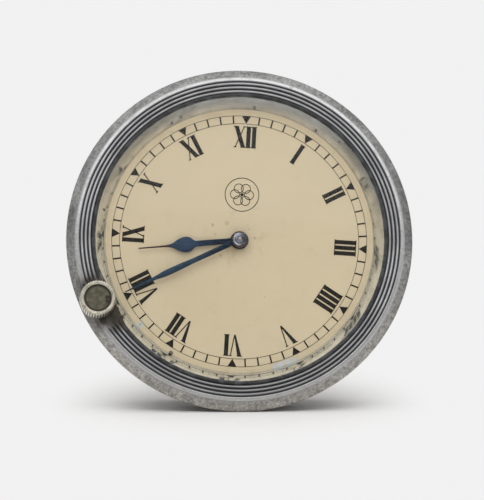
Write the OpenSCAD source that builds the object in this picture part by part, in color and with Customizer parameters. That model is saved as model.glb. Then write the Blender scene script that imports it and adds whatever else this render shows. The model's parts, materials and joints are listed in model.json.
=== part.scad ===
// Dashboard clock with a four day lever movement, wound and set by a knob through its bezel.
// The clock is drawn lying on its back, dial up (+Z), twelve o'clock at +Y, and upright() then
// stands it so that the dial faces -Y and twelve o'clock points to +Z.
// The origin is on the clock's axis, in the plane where the bezel seats on a panel.
// Depths are heights in front of that plane, so what lies behind the panel is negative.

/* [Bezel] */
// Outside diameter of the bezel
bezel_d = 80; // [79:0.5:90]
// Height of the ridged face in front of the panel
bezel_h = 3.2; // [3:0.1:3.6]
// Width of the matt flank outside the polished shoulder
flank_w = 1.9; // [1.6:0.1:2.2]
// Width of the polished shoulder
shoulder_w = 0.9; // [0.6:0.1:1.1]
// Distance from one ridge to the next
ridge_pitch = 0.905; // [0.8:0.005:0.92]
// Number of raised ridges
ridge_count = 3; // [1:1:3]
// Depth of the grooves between the ridges
groove_depth = 0.38; // [0.2:0.02:0.5]
// Width of the smooth lip, from the opening to the first ridge's crest
lip_w = 1.37; // [1.2:0.01:1.6]
// Radius of the smooth boss around the winding stem
boss_r = 3.5; // [3:0.1:3.6]

/* [Glass and reflector] */
// Rise of the domed glass from its edge to its centre
glass_rise = 3.9; // [3.2:0.1:5]
// Thickness of the glass at its centre
glass_t = 0.9; // [0.6:0.1:1.2]
// Thickness of the glass at its edge, under the lip
glass_edge_t = 0.13; // [0.08:0.01:0.2]
// Height of the polished reflector ring over the dial
reflector_h = 3.05; // [2.6:0.05:3.3]
// Width of the reflector ring, from the dial to the lip
reflector_w = 2.4; // [2:0.1:2.8]

/* [Dial] */
// Thickness of the dial plate
dial_t = 0.4; // [0.3:0.05:0.5]
// Thickness of the printed figures
print_t = 0.05; // [0.03:0.01:0.08]
// Bare rim of the dial outside the minute track
track_margin = 1.45; // [1.1:0.05:1.8]
// Width of the minute track between its two circles
track_w = 1.85; // [1.5:0.05:2.2]
// Width of the minute strokes
minute_w = 0.34; // [0.2:0.02:0.45]
// Base width of the hour triangles
hour_mark_w = 2.1; // [1.4:0.1:2.2]
// Gap between the minute track and the figures
figure_gap = 0.6; // [0.4:0.05:1.2]
// Height of the figures
figure_h = 5.05; // [4:0.05:5.4]
// Width of a thick stroke in the figures
figure_w = 0.96; // [0.7:0.02:1.1]
// Radius of the ornament above the centre
motif_r = 3.9; // [2.5:0.1:4]

/* [Hands] */
// Length of the hour hand
hour_hand_l = 23.4; // [20:0.2:24]
// Gap from the minute hand's tip to the minute track's outer circle
minute_hand_gap = 0.25; // [0:0.05:1]
// Thickness of both hands
hand_t = 0.15; // [0.1:0.01:0.2]
// Greatest width of the hour hand
hour_hand_w = 3.64; // [2.4:0.02:4]
// Greatest width of the minute hand
minute_hand_w = 1.46; // [1:0.02:2]
// Time shown, hour hand, in degrees clockwise from twelve
hour_hand_at = 261.5; // [0:0.5:359]
// Time shown, minute hand, in degrees clockwise from twelve
minute_hand_at = 241.4; // [0:0.2:359]
// Diameter of the domed cap that holds the hands
cap_d = 3.9; // [3.4:0.1:4.4]

/* [Winding knob] */
// Clock angle of the winding stem
stem_at = 242; // [238:0.5:246]
// Distance of the stem's axis inside the case's wall
stem_inset = 2; // [1.9:0.05:2.1]
// Diameter of the knob
knob_d = 8.3; // [7:0.1:9]
// Height of the knob
knob_h = 4.6; // [3.5:0.1:6]
// Gap under the knob, to the bezel's boss
knob_gap = 0.4; // [0.3:0.1:0.8]
// Number of teeth in the knob's coin edge
knob_teeth = 40; // [24:1:48]
// Radius of the winding stem
stem_r = 1; // [0.9:0.05:1]
// Travel of the stem when it is pulled to set the hands
stem_pull = 1.8; // [1.2:0.1:1.8]

/* [Case] */
// Overhang of the bezel past the case, which covers the edge of the panel's hole
bezel_overhang = 1.8; // [1.6:0.1:2.2]
// Gap between the stem's end and the floor of the case's wide part
cup_room = 1.4; // [1.3:0.1:2]
// Radius of the rounded rear corner of the wide part
cup_corner_r = 3.2; // [2.4:0.1:3.3]
// Width of the step from the wide part to the rear drum
cup_step_w = 7.3; // [7:0.1:7.6]
// Gap between the regulator and the back cover
rear_room = 1; // [0.9:0.1:4]
// Thickness of the case's sheet
sheet_t = 0.5; // [0.4:0.05:0.6]
// Distance between the two mounting studs
stud_spacing = 46; // [45:0.5:47]
// Diameter of the mounting studs
stud_d = 4; // [3.5:0.5:4]
// Length of the mounting studs behind their nuts
stud_l = 16; // [10:1:24]

/* [Movement] */
// Thickness of the front plate
front_plate_t = 1.5; // [1.3:0.1:1.5]
// Thickness of the back plate
back_plate_t = 1.3; // [1.1:0.1:1.6]
// Distance between the two plates
plate_gap = 10.2; // [10.1:0.1:10.8]
// Gap between the back plate's edge and the drum's wall
back_plate_gap = 1.9; // [1.4:0.1:2.2]
// Radius of the train's fine pivots
pivot_r = 0.25; // [0.2:0.01:0.27]
// Radius of the balance wheel
balance_r = 6.5; // [6:0.1:6.8]

/* [Hidden] */
$fn = 64;
run_gap = 0.03; // radial clearance of a pivot in its hole
slide_gap = 0.05; // radial clearance of a sliding or turning stem
fit_gap = 0.02; // radial clearance of a piece pressed into its seat

// Bezel section, from the rim inwards
bezel_r = bezel_d / 2;
rim_h = 0.65;
shoulder_end_r = bezel_r - flank_w;
shoulder_mid_r = shoulder_end_r - 0.5;
shoulder_start_r = shoulder_end_r - shoulder_w;
first_ridge_r = shoulder_start_r - 0.72 - (ridge_count - 1) * ridge_pitch;
lip_r = first_ridge_r - lip_w;
shoulder_drop = 1;
lip_edge_z = bezel_h - 0.22;
rolled_edge_t = 0.2;
rolled_in_r = bezel_r - bezel_overhang + 0.35;
flange_t = 0.8;
flange_r = bezel_r - 0.9;
boss_h = bezel_h + 0.4;
under_z = bezel_h - 1;
boss_lip_z = bezel_h + 0.2;
bush_r = stem_r + 0.45;

// Reflector, glass and dial
glass_edge_z = lip_edge_z - glass_edge_t - 0.1;
glass_seat_r = lip_r + 0.35;
reflector_base_r = lip_r - reflector_w;
reflector_out_r = lip_r + 0.9;
pocket_r = reflector_out_r + 0.1;
dial_r = reflector_out_r - 0.3;
dial_z = glass_edge_z - reflector_h;

// Printing
track_outer_r = reflector_base_r - track_margin;
track_inner_r = track_outer_r - track_w;
figure_outer_r = track_inner_r - figure_gap;
serif_t = 0.22;
thin_w = 0.24;
serif_out = 0.14; // overhang of a serif past a thick stroke
hair_serif = 0.34; // half width of the serif on a thin stroke
serif_gap = 0.05; // clearance between the serifs of two letters
i_half = figure_w / 2 + serif_out;
step_i = 2 * i_half + serif_gap;
v_left = 0.24 * figure_h; // from the V's point to the top of its thick stroke
v_right = 0.18 * figure_h; // from the V's point to the top of its thin stroke
v_to_i = v_right + hair_serif + serif_gap + i_half;
x_thick = 0.175 * figure_h; // lean of the X's thick stroke to either side
x_thin = 0.195 * figure_h; // lean of its thin stroke
x_to_i = x_thin + hair_serif + serif_gap + i_half;
circle_w = 0.1;
motif_at_r = 10.9;
motif_line_w = 0.16;

// Case
case_r = bezel_r - bezel_overhang;
drum_r = case_r - cup_step_w;
cover_t = 0.6;
nut_t = 1.8;
nut_r = stud_d;
stud_neck_r = stud_d / 2 - 0.1;

// Levels of the movement
front_plate_z = dial_z - dial_t - 2.8;
front_back_z = front_plate_z - front_plate_t;
back_front_z = front_back_z - plate_gap;
back_plate_z = back_front_z - back_plate_t;
winding_z = front_back_z - 2.9;
winding_t = 0.8;
setting_z = winding_z + stem_pull;
setting_t = 0.7;

// Tooth form, as shares of the module and of the pitch
tooth_add = 0.85;
tooth_ded = 1.1;
wheel_root = 0.45;
wheel_tip = 0.18;
pinion_root = 0.41;
pinion_tip = 0.17;

// Winding train: stem pinion, transfer wheel, ratchet wheel
wind_m = 0.25;
stem_teeth = 8;
transfer_teeth = 56;
ratchet_teeth = 64;
stem_at_r = case_r - stem_inset;
stem_at_p = polar(stem_at_r, stem_at);
transfer_at_r = stem_at_r - (stem_teeth + transfer_teeth) * wind_m / 2;
transfer_p = polar(transfer_at_r, stem_at);
barrel_at_r = transfer_at_r - (transfer_teeth + ratchet_teeth) * wind_m / 2;
barrel_p = polar(barrel_at_r, stem_at);
click_p = beyond(barrel_p, 11, 300);
beak_p = beyond(barrel_p, (ratchet_teeth / 2 + tooth_add) * wind_m + 0.12, 320);

// Going train: barrel, centre, third, fourth, escape
centre_p = [0, 0];
barrel_teeth = 72;
centre_leaves = 8;
barrel_m = barrel_at_r * 2 / (barrel_teeth + centre_leaves);
centre_teeth = 64;
centre_m = 0.225;
third_leaves = 8;
third_at = 62;
third_teeth = 60;
third_m = 0.2;
fourth_leaves = 8;
fourth_teeth = 60;
fourth_m = 0.185;
escape_leaves = 6;
third_p = beyond(centre_p, (centre_teeth + third_leaves) * centre_m / 2, third_at);
fourth_p = beyond(third_p, (third_teeth + fourth_leaves) * third_m / 2, 120);
escape_p = beyond(fourth_p, (fourth_teeth + escape_leaves) * fourth_m / 2, 150);
escape_r = 3.2;
escape_count = 15;
fork_dir = 215;
pallet_p = beyond(escape_p, escape_r / cos(30), fork_dir);
balance_p = beyond(pallet_p, 4.8, fork_dir);
cock_foot_p = beyond(balance_p, balance_r + 3.6, 260);
escape_foot_p = beyond(escape_p, 4.6, fork_dir + 180);

// Motion work and setting train
cannon_teeth = 12;
minute_teeth = 36;
minute_leaves = 10;
hour_teeth = 40;
motion_m = 0.25;
hour_m = (cannon_teeth + minute_teeth) * motion_m / (minute_leaves + hour_teeth);
minute_at = 224;
setting_leaves = 12;
setting_teeth = 24;
setting_reach = (stem_teeth + setting_teeth) * wind_m / 2 + 0.5; // stands clear of the stem pinion
minute_p = polar((cannon_teeth + minute_teeth) * motion_m / 2, minute_at);
setting_p = beyond(stem_at_p, setting_reach, stem_at + 180 + 20);
idler_teeth = ceil(norm(setting_p - minute_p) / motion_m - (minute_teeth + setting_leaves) / 2 + 2);
idler_p = apex(minute_p, (minute_teeth + idler_teeth) * motion_m / 2, setting_p,
    (idler_teeth + setting_leaves) * motion_m / 2);

// Turn of each gear at rest, so that every pair is in mesh
centre_turn = 0;
barrel_turn = meshed(centre_turn, centre_leaves, barrel_teeth, heading(centre_p, barrel_p));
third_pinion_turn = meshed(centre_turn, centre_teeth, third_leaves, heading(centre_p, third_p));
fourth_pinion_turn = meshed(0, third_teeth, fourth_leaves, heading(third_p, fourth_p));
escape_pinion_turn = meshed(0, fourth_teeth, escape_leaves, heading(fourth_p, escape_p));
minute_turn = meshed(0, cannon_teeth, minute_teeth, heading(centre_p, minute_p));
hour_turn = meshed(0, minute_leaves, hour_teeth, heading(minute_p, centre_p));
idler_turn = meshed(minute_turn, minute_teeth, idler_teeth, heading(minute_p, idler_p));
setting_turn = meshed(idler_turn, idler_teeth, setting_leaves, heading(idler_p, setting_p));
stem_turn = heading(stem_at_p, transfer_p);
transfer_turn = meshed(stem_turn, stem_teeth, transfer_teeth, heading(stem_at_p, transfer_p));
ratchet_turn = meshed(transfer_turn, transfer_teeth, ratchet_teeth, heading(transfer_p, barrel_p));

// Levels of the train, each the front face of its wheel
barrel_rim_z = front_back_z - 3.6;
barrel_rim_t = 0.8;
barrel_back_z = front_back_z - 8.5;
barrel_wall_r = barrel_at_r - 2;
barrel_arbor_r = 2;
centre_wheel_z = back_front_z + 1;
third_wheel_z = back_front_z + 3.4;
fourth_wheel_z = front_back_z - 4.85;
train_t = 0.3;
motion_z = front_plate_z + 0.7;
motion_t = 0.4;
hour_wheel_z = front_plate_z + 1.9;
hour_hand_z = dial_z + 1;
minute_hand_z = dial_z + 1.8;
minute_hand_l = track_outer_r - minute_hand_gap;
cap_hold_z = minute_hand_z + hand_t + 0.35;
cannon_r = 1;
hour_pipe_r = 1.5;
centre_arbor_r = 0.6;

// Knob, stem and yoke
knob_z = boss_h + knob_gap;
collar_z = winding_z - 0.15 - stem_pull; // stays behind the transfer wheel when pulled
collar_t = 0.2;
yoke_t = 0.4;
yoke_z = collar_z - collar_t - 0.15;
stem_end_z = yoke_z - yoke_t - 0.4;
neck_r = 0.65;
guide_pin_r = 0.5;
guide_p = beyond(stem_at_p, 3.4, stem_at + 90);
guide_end_z = yoke_z - yoke_t - 0.3;

// Escapement levels, behind the back plate
escape_wheel_z = back_plate_z - 2.4;
fork_z = escape_wheel_z - 0.4;
roller_z = fork_z - 0.75;
escape_cock_z = fork_z - 0.75;
balance_z = fork_z - 1.4;
spring_z = balance_z - 1.7;
spring_in_r = 0.85;
spring_out_r = 4.1;
spring_turns = 7;
spring_strip_t = 0.1;
coil_r = spring_in_r + (spring_out_r - spring_in_r) * (spring_turns - 1 + 60 / 360) / spring_turns;
cock_z = balance_z - 2.4;
cock_t = 1;
regulator_t = 0.4;

// Depths of the case
cup_depth = cup_room + sheet_t - stem_end_z;
drum_depth = rear_room + regulator_t + cock_t - cock_z;

// Pillars and screws
back_plate_r = drum_r - sheet_t - back_plate_gap;
pillar_at_r = back_plate_r - 2;
pillar_clocks = [20, 110, 200, 290];
pillar_r = 1.6;
post_at_r = case_r - sheet_t - 2.3;
post_sink = 0.1; // depth of sheet left behind a post
post_clocks = [20, 140, 300];
post_r = 1.6;
foot_clocks = [90, 270];
foot_at_r = dial_r - 6.9;
foot_r = 0.8;

function polar(r, clock) = [r * sin(clock), r * cos(clock)];
function beyond(p, r, clock) = p + polar(r, clock);
function heading(a, b) = atan2(b[1] - a[1], b[0] - a[0]);

// Turn of a gear that meshes with another, where way is the heading from the first to the second
function meshed(turn, teeth_a, teeth_b, way) =
    way + 180 + 180 / teeth_b - (turn - way) * teeth_a / teeth_b;

// Third corner of a triangle on a and b with the given sides, on the left of a to b
function apex(a, side_a, b, side_b) =
    let (
        span = norm(b - a),
        along = (side_a * side_a - side_b * side_b + span * span) / (2 * span),
        rise = sqrt(side_a * side_a - along * along),
        unit = (b - a) / span
    ) a + unit * along + [-unit[1], unit[0]] * rise;

// Points of a gear's outline with straight sided teeth
function gear_points(teeth, m, root, tip) = [
    for (i = [0 : teeth - 1])
        for (corner = [[-root, -tooth_ded], [-tip, tooth_add], [tip, tooth_add], [root, -tooth_ded]])
            let (a = (i + corner[0] / 2) * 360 / teeth, r = (teeth / 2 + corner[1]) * m)
                [r * cos(a), r * sin(a)]
];

module upright() {
    rotate([90, 0, 0]) children();
}

module at(p, z = 0) {
    translate([p[0], p[1], z]) children();
}

// Points children to a clock angle, from the +X direction
module toward(clock) {
    rotate(90 - clock) children();
}

module tube(r_out, r_in, z, h) {
    translate([0, 0, z]) linear_extrude(h) difference() {
        circle(r_out);
        circle(r_in);
    }
}

// Flat ring of the given line width
module ring(r, w) {
    difference() {
        circle(r + w / 2);
        circle(r - w / 2);
    }
}

module pinion(teeth, m, turn, z, h, bore = 0) {
    translate([0, 0, z]) linear_extrude(h) rotate(turn) difference() {
        polygon(gear_points(teeth, m, pinion_root, pinion_tip));
        if (bore > 0) circle(bore);
    }
}

// Crossed out wheel: a toothed rim on spokes and a hub
module wheel(teeth, m, turn, z, h, bore, hub, rim = 1, spokes = 4, spoke_w = 0.8) {
    inner = (teeth / 2 - tooth_ded) * m - rim;
    translate([0, 0, z]) linear_extrude(h) rotate(turn) difference() {
        polygon(gear_points(teeth, m, wheel_root, wheel_tip));
        circle(bore);
        difference() {
            circle(inner);
            circle(hub);
            for (i = [0 : spokes - 1])
                rotate(i * 360 / spokes) translate([0, -spoke_w / 2]) square([inner + 1, spoke_w]);
        }
    }
}

// Arbor between two levels, with a fine pivot at each end
module arbor(r, z_low, z_high, low = pivot_r, high = pivot_r, low_l = 1, high_l = 1) {
    translate([0, 0, z_low]) cylinder(r = r, h = z_high - z_low);
    translate([0, 0, z_low - low_l]) cylinder(r = low, h = low_l + 0.01);
    translate([0, 0, z_high - 0.01]) cylinder(r = high, h = high_l + 0.01);
}

module slotted_screw(head_r, head_h, shank_r, shank_l) {
    difference() {
        cylinder(r = head_r, h = head_h);
        translate([-head_r, -0.2, head_h - 0.4]) cube([2 * head_r, 0.4, 0.5]);
    }
    translate([0, 0, -shank_l]) cylinder(r = shank_r, h = shank_l + 0.01);
}

// Front pieces: bezel, glass, reflector, dial

function ridge_points() = [
    for (i = [ridge_count - 1 : -1 : 0])
        for (a = [-150 : 30 : 150])
            [
                first_ridge_r + i * ridge_pitch - a / 360 * ridge_pitch,
                bezel_h - groove_depth / 2 + groove_depth / 2 * cos(a)
            ]
];

module bezel() {
    groove_z = bezel_h - groove_depth;
    outline = concat(
        [
            [rolled_in_r, 0],
            [bezel_r, 0],
            [bezel_r, rim_h],
            [bezel_r - 0.35, rim_h + 0.6],
            [bezel_r - 1, rim_h + 1.15],
            [shoulder_end_r, bezel_h - shoulder_drop],
            [shoulder_end_r - 0.12, bezel_h - 0.65],
            [shoulder_mid_r, bezel_h - 0.28],
            [shoulder_start_r, bezel_h - 0.1],
            [shoulder_start_r - 0.2, groove_z]
        ],
        ridge_points(),
        [
            [first_ridge_r - ridge_pitch / 2, lip_edge_z + 0.05],
            [lip_r, lip_edge_z],
            [lip_r + 0.02, lip_edge_z - 0.06],
            [glass_seat_r + 0.02, glass_edge_z + 0.02],
            [pocket_r, glass_edge_z + 0.02],
            [pocket_r, rolled_edge_t + flange_t],
            [pocket_r + 0.8, rolled_edge_t + flange_t],
            [pocket_r + 0.8, under_z],
            [shoulder_mid_r, under_z],
            [shoulder_mid_r, rolled_edge_t + flange_t],
            [flange_r + 0.05, rolled_edge_t + flange_t],
            [flange_r + 0.05, rolled_edge_t],
            [rolled_in_r, rolled_edge_t]
        ]
    );
    upright() color("silver") difference() {
        union() {
            rotate_extrude() polygon(outline);
            at(stem_at_p) stem_boss();
        }
        at(stem_at_p) translate([0, 0, -1]) cylinder(r = bush_r + fit_gap, h = boss_h + 2);
    }
}

// Boss that carries the stem's bush, cut back where the glass and the reflector pass
module stem_boss() {
    low = rolled_edge_t + flange_t;
    difference() {
        translate([0, 0, low]) cylinder(r = boss_r, h = boss_h - low);
        at(-stem_at_p) {
            translate([0, 0, low - 1]) cylinder(r = pocket_r, h = glass_edge_z + 0.02 - low + 1);
            translate([0, 0, glass_edge_z])
                cylinder(r1 = glass_seat_r + 0.04, r2 = lip_r + 0.02, h = lip_edge_z - glass_edge_z);
            translate([0, 0, lip_edge_z - 0.01]) cylinder(r = lip_r + 0.02, h = boss_lip_z - lip_edge_z);
        }
    }
}

// Dome of the glass: heights over its edge, from the edge to the centre
function dome_points(r_edge, z_edge, rise, steps) = [
    for (i = [0 : steps]) let (r = r_edge * (1 - i / steps)) [r, z_edge + rise * (1 - pow(r / r_edge, 2))]
];

function reversed(points) = [for (i = [len(points) - 1 : -1 : 0]) points[i]];

module crystal() {
    outer = dome_points(lip_r - 0.05, glass_edge_z + glass_edge_t, glass_rise, 14);
    inner = dome_points(lip_r - 0.6, glass_edge_z, glass_rise + glass_edge_t - glass_t, 14);
    upright() color([0.8, 0.9, 0.95, 0.3]) rotate_extrude()
        polygon(concat([[glass_seat_r - 0.05, glass_edge_z]], outer, reversed(inner)));
}

// Polished ring, steeper than half a right angle, so that it mirrors the edge of the dial
module reflector_ring() {
    upright() color("gainsboro") rotate_extrude() polygon([
        [reflector_base_r, dial_z], [lip_r, glass_edge_z],
        [reflector_out_r, glass_edge_z], [reflector_out_r, dial_z]
    ]);
}

module dial() {
    upright() color("wheat") {
        difference() {
            translate([0, 0, dial_z - dial_t]) cylinder(r = dial_r, h = dial_t);
            translate([0, 0, dial_z - dial_t - 1]) cylinder(r = hour_pipe_r + 0.5, h = dial_t + 2);
        }
        for (c = foot_clocks) at(polar(foot_at_r, c), front_back_z)
            cylinder(r = foot_r, h = dial_z - dial_t - front_back_z + 0.01);
    }
}

module dial_rest_ring() {
    rest_z = dial_z - dial_t;
    upright() color("silver") difference() {
        tube(dial_r, dial_r - 1.5, front_plate_z, rest_z - front_plate_z);
        at(setting_p, front_plate_z - 1) cylinder(r = setting_leaves * motion_m / 2 + 0.8, h = 6);
    }
}

// Figures, drawn with their feet on the X axis and centred on the Y axis

module thick_stroke(x) {
    translate([x - figure_w / 2, 0]) square([figure_w, figure_h]);
}

module slanted(x_low, x_high, w) {
    polygon([
        [x_low - w / 2, 0], [x_low + w / 2, 0], [x_high + w / 2, figure_h], [x_high - w / 2, figure_h]
    ]);
}

module serif(x_low, x_high, y) {
    translate([x_low, y]) square([x_high - x_low, serif_t]);
}

module letter_i(x) {
    thick_stroke(x);
    for (y = [0, figure_h - serif_t]) serif(x - i_half, x + i_half, y);
}

// The V's point, without a serif, stands at x
module letter_v(x) {
    polygon([
        [x - 0.08, 0], [x + 0.26, 0], [x - v_left + figure_w / 2, figure_h],
        [x - v_left - figure_w / 2, figure_h]
    ]);
    slanted(x + 0.14, x + v_right, thin_w);
    serif(x - v_left - i_half, x - v_left + i_half, figure_h - serif_t);
    serif(x + v_right - hair_serif, x + v_right + hair_serif, figure_h - serif_t);
}

module letter_x(x) {
    slanted(x + x_thick, x - x_thick, figure_w * 1.04);
    slanted(x - x_thin, x + x_thin, thin_w);
    for (side = [-1, 1]) {
        y = side > 0 ? 0 : figure_h - serif_t;
        serif(x + side * x_thick - i_half, x + side * x_thick + i_half, y);
        serif(x - side * x_thin - hair_serif, x - side * x_thin + hair_serif, y);
    }
}

module strokes(x, count) {
    for (i = [0 : count - 1]) letter_i(x + i * step_i);
}

// Place of the first letter's mark, so that the letter and the strokes after it are centred
function first_at(to_i, count, left) = -(to_i + (count - 1) * step_i + i_half - left) / 2;

module figure(hour) {
    v_half = v_left + i_half;
    x_half = x_thin + hair_serif;
    if (hour < 5) strokes(-(hour - 1) * step_i / 2, hour);
    if (hour == 5) letter_v((v_half - v_right - hair_serif) / 2);
    if (hour > 5 && hour < 9) {
        v_at = first_at(v_to_i, hour - 5, v_half);
        letter_v(v_at);
        strokes(v_at + v_to_i, hour - 5);
    }
    if (hour == 9) {
        x_at = first_at(x_to_i, 1, x_half);
        letter_x(-x_at);
        letter_i(-x_at - x_to_i);
    }
    if (hour == 10) letter_x(0);
    if (hour > 10) {
        x_at = first_at(x_to_i, hour - 10, x_half);
        letter_x(x_at);
        strokes(x_at + x_to_i, hour - 10);
    }
}

module hour_numerals() {
    upright() color("#1c1b1e") translate([0, 0, dial_z]) linear_extrude(print_t)
        for (hour = [1 : 12])
            rotate(-hour * 30) translate([0, figure_outer_r - figure_h]) figure(hour);
}

module minute_track() {
    reach = track_outer_r - track_inner_r;
    upright() color("#1c1b1e") translate([0, 0, dial_z]) linear_extrude(print_t) {
        for (r = [track_inner_r, track_outer_r]) ring(r, circle_w);
        for (i = [0 : 59]) rotate(-i * 6)
            if (i % 5 == 0) polygon([
                [-hour_mark_w / 2, track_outer_r], [0, track_inner_r], [hour_mark_w / 2, track_outer_r]
            ]);
            else translate([-minute_w / 2, track_inner_r]) square([minute_w, reach]);
    }
}

// Plain ornament: a thin ring round a rosette of six open petals
module dial_motif() {
    petal_r = motif_r * 0.27;
    upright() color("#3a3733") at([0, motif_at_r], dial_z) linear_extrude(print_t) {
        ring(motif_r, motif_line_w);
        for (i = [0 : 5])
            rotate(i * 60) translate([motif_r * 0.42, 0]) ring(petal_r, motif_line_w);
        circle(motif_r * 0.1);
    }
}

// Hands, each drawn along +X from the clock's axis

// Outline of a hand from stations of distance and half width, which mirror below the axis
function hand_points(stations) = concat(
    stations,
    [for (s = reversed(stations)) if (s[1] > 0) [s[0], -s[1]]]
);

// Half widths of the hour hand as shares of its length and of its greatest half width:
// a straight stem, a rounded spade and a needle
hour_shares = [
    [0.2, 0.36], [0.4, 0.385], [0.429, 0.39], [0.442, 0.45], [0.455, 0.56], [0.47, 0.77], [0.492, 0.92],
    [0.512, 0.985], [0.53, 1], [0.556, 0.955], [0.577, 0.885], [0.598, 0.77], [0.62, 0.626],
    [0.641, 0.456], [0.662, 0.302], [0.684, 0.214], [0.726, 0.143], [0.77, 0.115], [0.85, 0.08], [1, 0.04]
];

// The same for the minute hand: a leaf, widest past its middle, that runs to a point
minute_shares = [
    [0.2, 0.8], [0.31, 0.81], [0.4, 0.78], [0.48, 0.9], [0.55, 0.97], [0.62, 1], [0.66, 0.93],
    [0.69, 0.79], [0.74, 0.56], [0.83, 0.37], [0.92, 0.22], [1, 0.07]
];

function stations(shares, length, width) = concat(
    [[1, shares[0][1] * width / 2]],
    [for (s = shares) [s[0] * length, s[1] * width / 2]]
);

module hour_hand() {
    collet_r = hour_pipe_r + 0.6;
    upright() color("midnightblue") toward(hour_hand_at) difference() {
        union() {
            translate([0, 0, hour_hand_z]) linear_extrude(hand_t)
                polygon(hand_points(stations(hour_shares, hour_hand_l, hour_hand_w)));
            translate([0, 0, hour_hand_z]) cylinder(r = collet_r, h = hand_t);
            translate([0, 0, hour_hand_z - 0.5]) cylinder(r = collet_r - 0.2, h = 0.51);
        }
        translate([0, 0, hour_hand_z - 1]) cylinder(r = hour_pipe_r + fit_gap, h = 3);
    }
}

module minute_hand() {
    collet_r = cannon_r + 0.4;
    upright() color("midnightblue") toward(minute_hand_at) difference() {
        union() {
            translate([0, 0, minute_hand_z])
                linear_extrude(hand_t)
                    polygon(hand_points(stations(minute_shares, minute_hand_l, minute_hand_w)));
            translate([0, 0, minute_hand_z - 0.4]) cylinder(r = collet_r, h = 0.4 + hand_t);
        }
        translate([0, 0, minute_hand_z - 2]) cylinder(r = cannon_r + fit_gap, h = 4);
    }
}

module hand_cap() {
    cap_r = cap_d / 2;
    cap_z = minute_hand_z + hand_t;
    upright() color("slategray") translate([0, 0, cap_z]) difference() {
        rotate_extrude() polygon([
            [0, 0], [cap_r, 0], [cap_r, 0.25], [cap_r - 0.15, 0.42], [cap_r - 0.5, 0.6],
            [0.75, 0.8], [0.7, 0.72], [0.5, 0.72], [0.45, 1], [0, 1]
        ]);
        translate([0, 0, -0.01]) cylinder(r = centre_arbor_r + fit_gap, h = 0.45);
    }
}

// Knob and keyless work

module winding_knob() {
    knob_r = knob_d / 2;
    dish_r = knob_r - 1.15;
    dish_depth = 0.3;
    groove = 0.13;
    upright() color("lightslategray") at(stem_at_p, knob_z) difference() {
        union() {
            translate([0, 0, 0.3]) linear_extrude(knob_h - 0.6) polygon([
                for (i = [0 : 2 * knob_teeth - 1]) let (r = knob_r - (i % 2) * groove)
                    [r * cos(i * 180 / knob_teeth), r * sin(i * 180 / knob_teeth)]
            ]);
            rotate_extrude() polygon([
                [0, 0], [knob_r - 0.35, 0], [knob_r - groove, 0.31], [knob_r - groove, knob_h - 0.31],
                [knob_r - 0.45, knob_h], [0, knob_h]
            ]);
        }
        translate([0, 0, knob_h - dish_depth]) cylinder(r = dish_r, h = 1);
        translate([0, 0, -1]) cylinder(r = stem_r - 0.08, h = 1 + knob_h - 1.5);
    }
}

module winding_stem() {
    upright() color("silver") at(stem_at_p) {
        translate([0, 0, stem_end_z]) cylinder(r = stem_r - 0.1, h = 0.3);
        translate([0, 0, collar_z - collar_t]) cylinder(r = stem_r, h = collar_t);
        translate([0, 0, stem_end_z + 0.29]) cylinder(r = neck_r, h = winding_z - stem_end_z);
        pinion(stem_teeth, wind_m, stem_turn, winding_z - 0.05, winding_t + 0.1);
        translate([0, 0, winding_z + winding_t + 0.04])
            cylinder(r = stem_r, h = knob_z - winding_z - winding_t - 0.04);
        translate([0, 0, knob_z - 0.01]) cylinder(r = stem_r - 0.1, h = knob_h - 1.55);
    }
}

module stem_bush() {
    upright() color("darkkhaki") at(stem_at_p)
        tube(bush_r, stem_r + slide_gap, front_back_z, boss_h + 0.1 - front_back_z);
}

module setting_yoke() {
    way = guide_p - stem_at_p;
    upright() color("silver") at(stem_at_p, yoke_z - yoke_t) difference() {
        linear_extrude(yoke_t) {
            circle(1.3);
            rotate(atan2(way[1], way[0])) translate([0, -0.9]) square([norm(way), 1.8]);
            translate(way) circle(1);
        }
        translate([0, 0, -1]) cylinder(r = neck_r + slide_gap, h = 2);
        at(way, -1) cylinder(r = guide_pin_r + slide_gap, h = 2);
    }
}

module yoke_guide_pin() {
    upright() color("silver") at(guide_p, guide_end_z)
        cylinder(r = guide_pin_r, h = front_back_z - guide_end_z);
}

// Blade beside the yoke that holds the stem in or out
module detent_spring() {
    blade_w = 1.2;
    upright() color("steelblue") at(guide_p, 0) toward(stem_at + 90) {
        translate([1.1, -blade_w / 2, guide_end_z]) cube([0.2, blade_w, front_back_z - guide_end_z]);
        translate([1.1, -blade_w / 2, front_back_z - 0.3]) cube([1.6, blade_w, 0.3]);
    }
}

// Case

// Points round the cup's rear corner, from the step to the wall, on an arc of the given radius
function corner_points(r) = [
    for (a = [-90 : 15 : 0])
        [
            case_r - cup_corner_r + r * cos(a),
            -cup_depth + cup_corner_r + r * sin(a)
        ]
];

module case_shell() {
    upright() color("gray") difference() {
        union() {
            rotate_extrude() polygon(concat(
                corner_points(cup_corner_r),
                [
                    [case_r, 0], [case_r + rolled_edge_t, rolled_edge_t], [flange_r, rolled_edge_t],
                    [flange_r, rolled_edge_t + flange_t], [case_r - sheet_t, rolled_edge_t + flange_t]
                ],
                reversed(corner_points(cup_corner_r - sheet_t)),
                [
                    [drum_r - sheet_t, -cup_depth + sheet_t], [drum_r - sheet_t, -drum_depth],
                    [drum_r, -drum_depth], [drum_r, -cup_depth]
                ]
            ));
            intersection() {
                for (c = post_clocks) at(polar(post_at_r, c), -cup_depth)
                    cylinder(r = post_r, h = front_back_z + cup_depth);
                rotate_extrude() polygon(concat(
                    [[0, -cup_depth + post_sink]],
                    corner_points(cup_corner_r - post_sink),
                    [[case_r - post_sink, front_back_z + 1], [0, front_back_z + 1]]
                ));
            }
        }
        for (c = post_clocks) at(polar(post_at_r, c), front_back_z - 3)
            cylinder(r = 0.8 + fit_gap, h = 4);
    }
}

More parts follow.
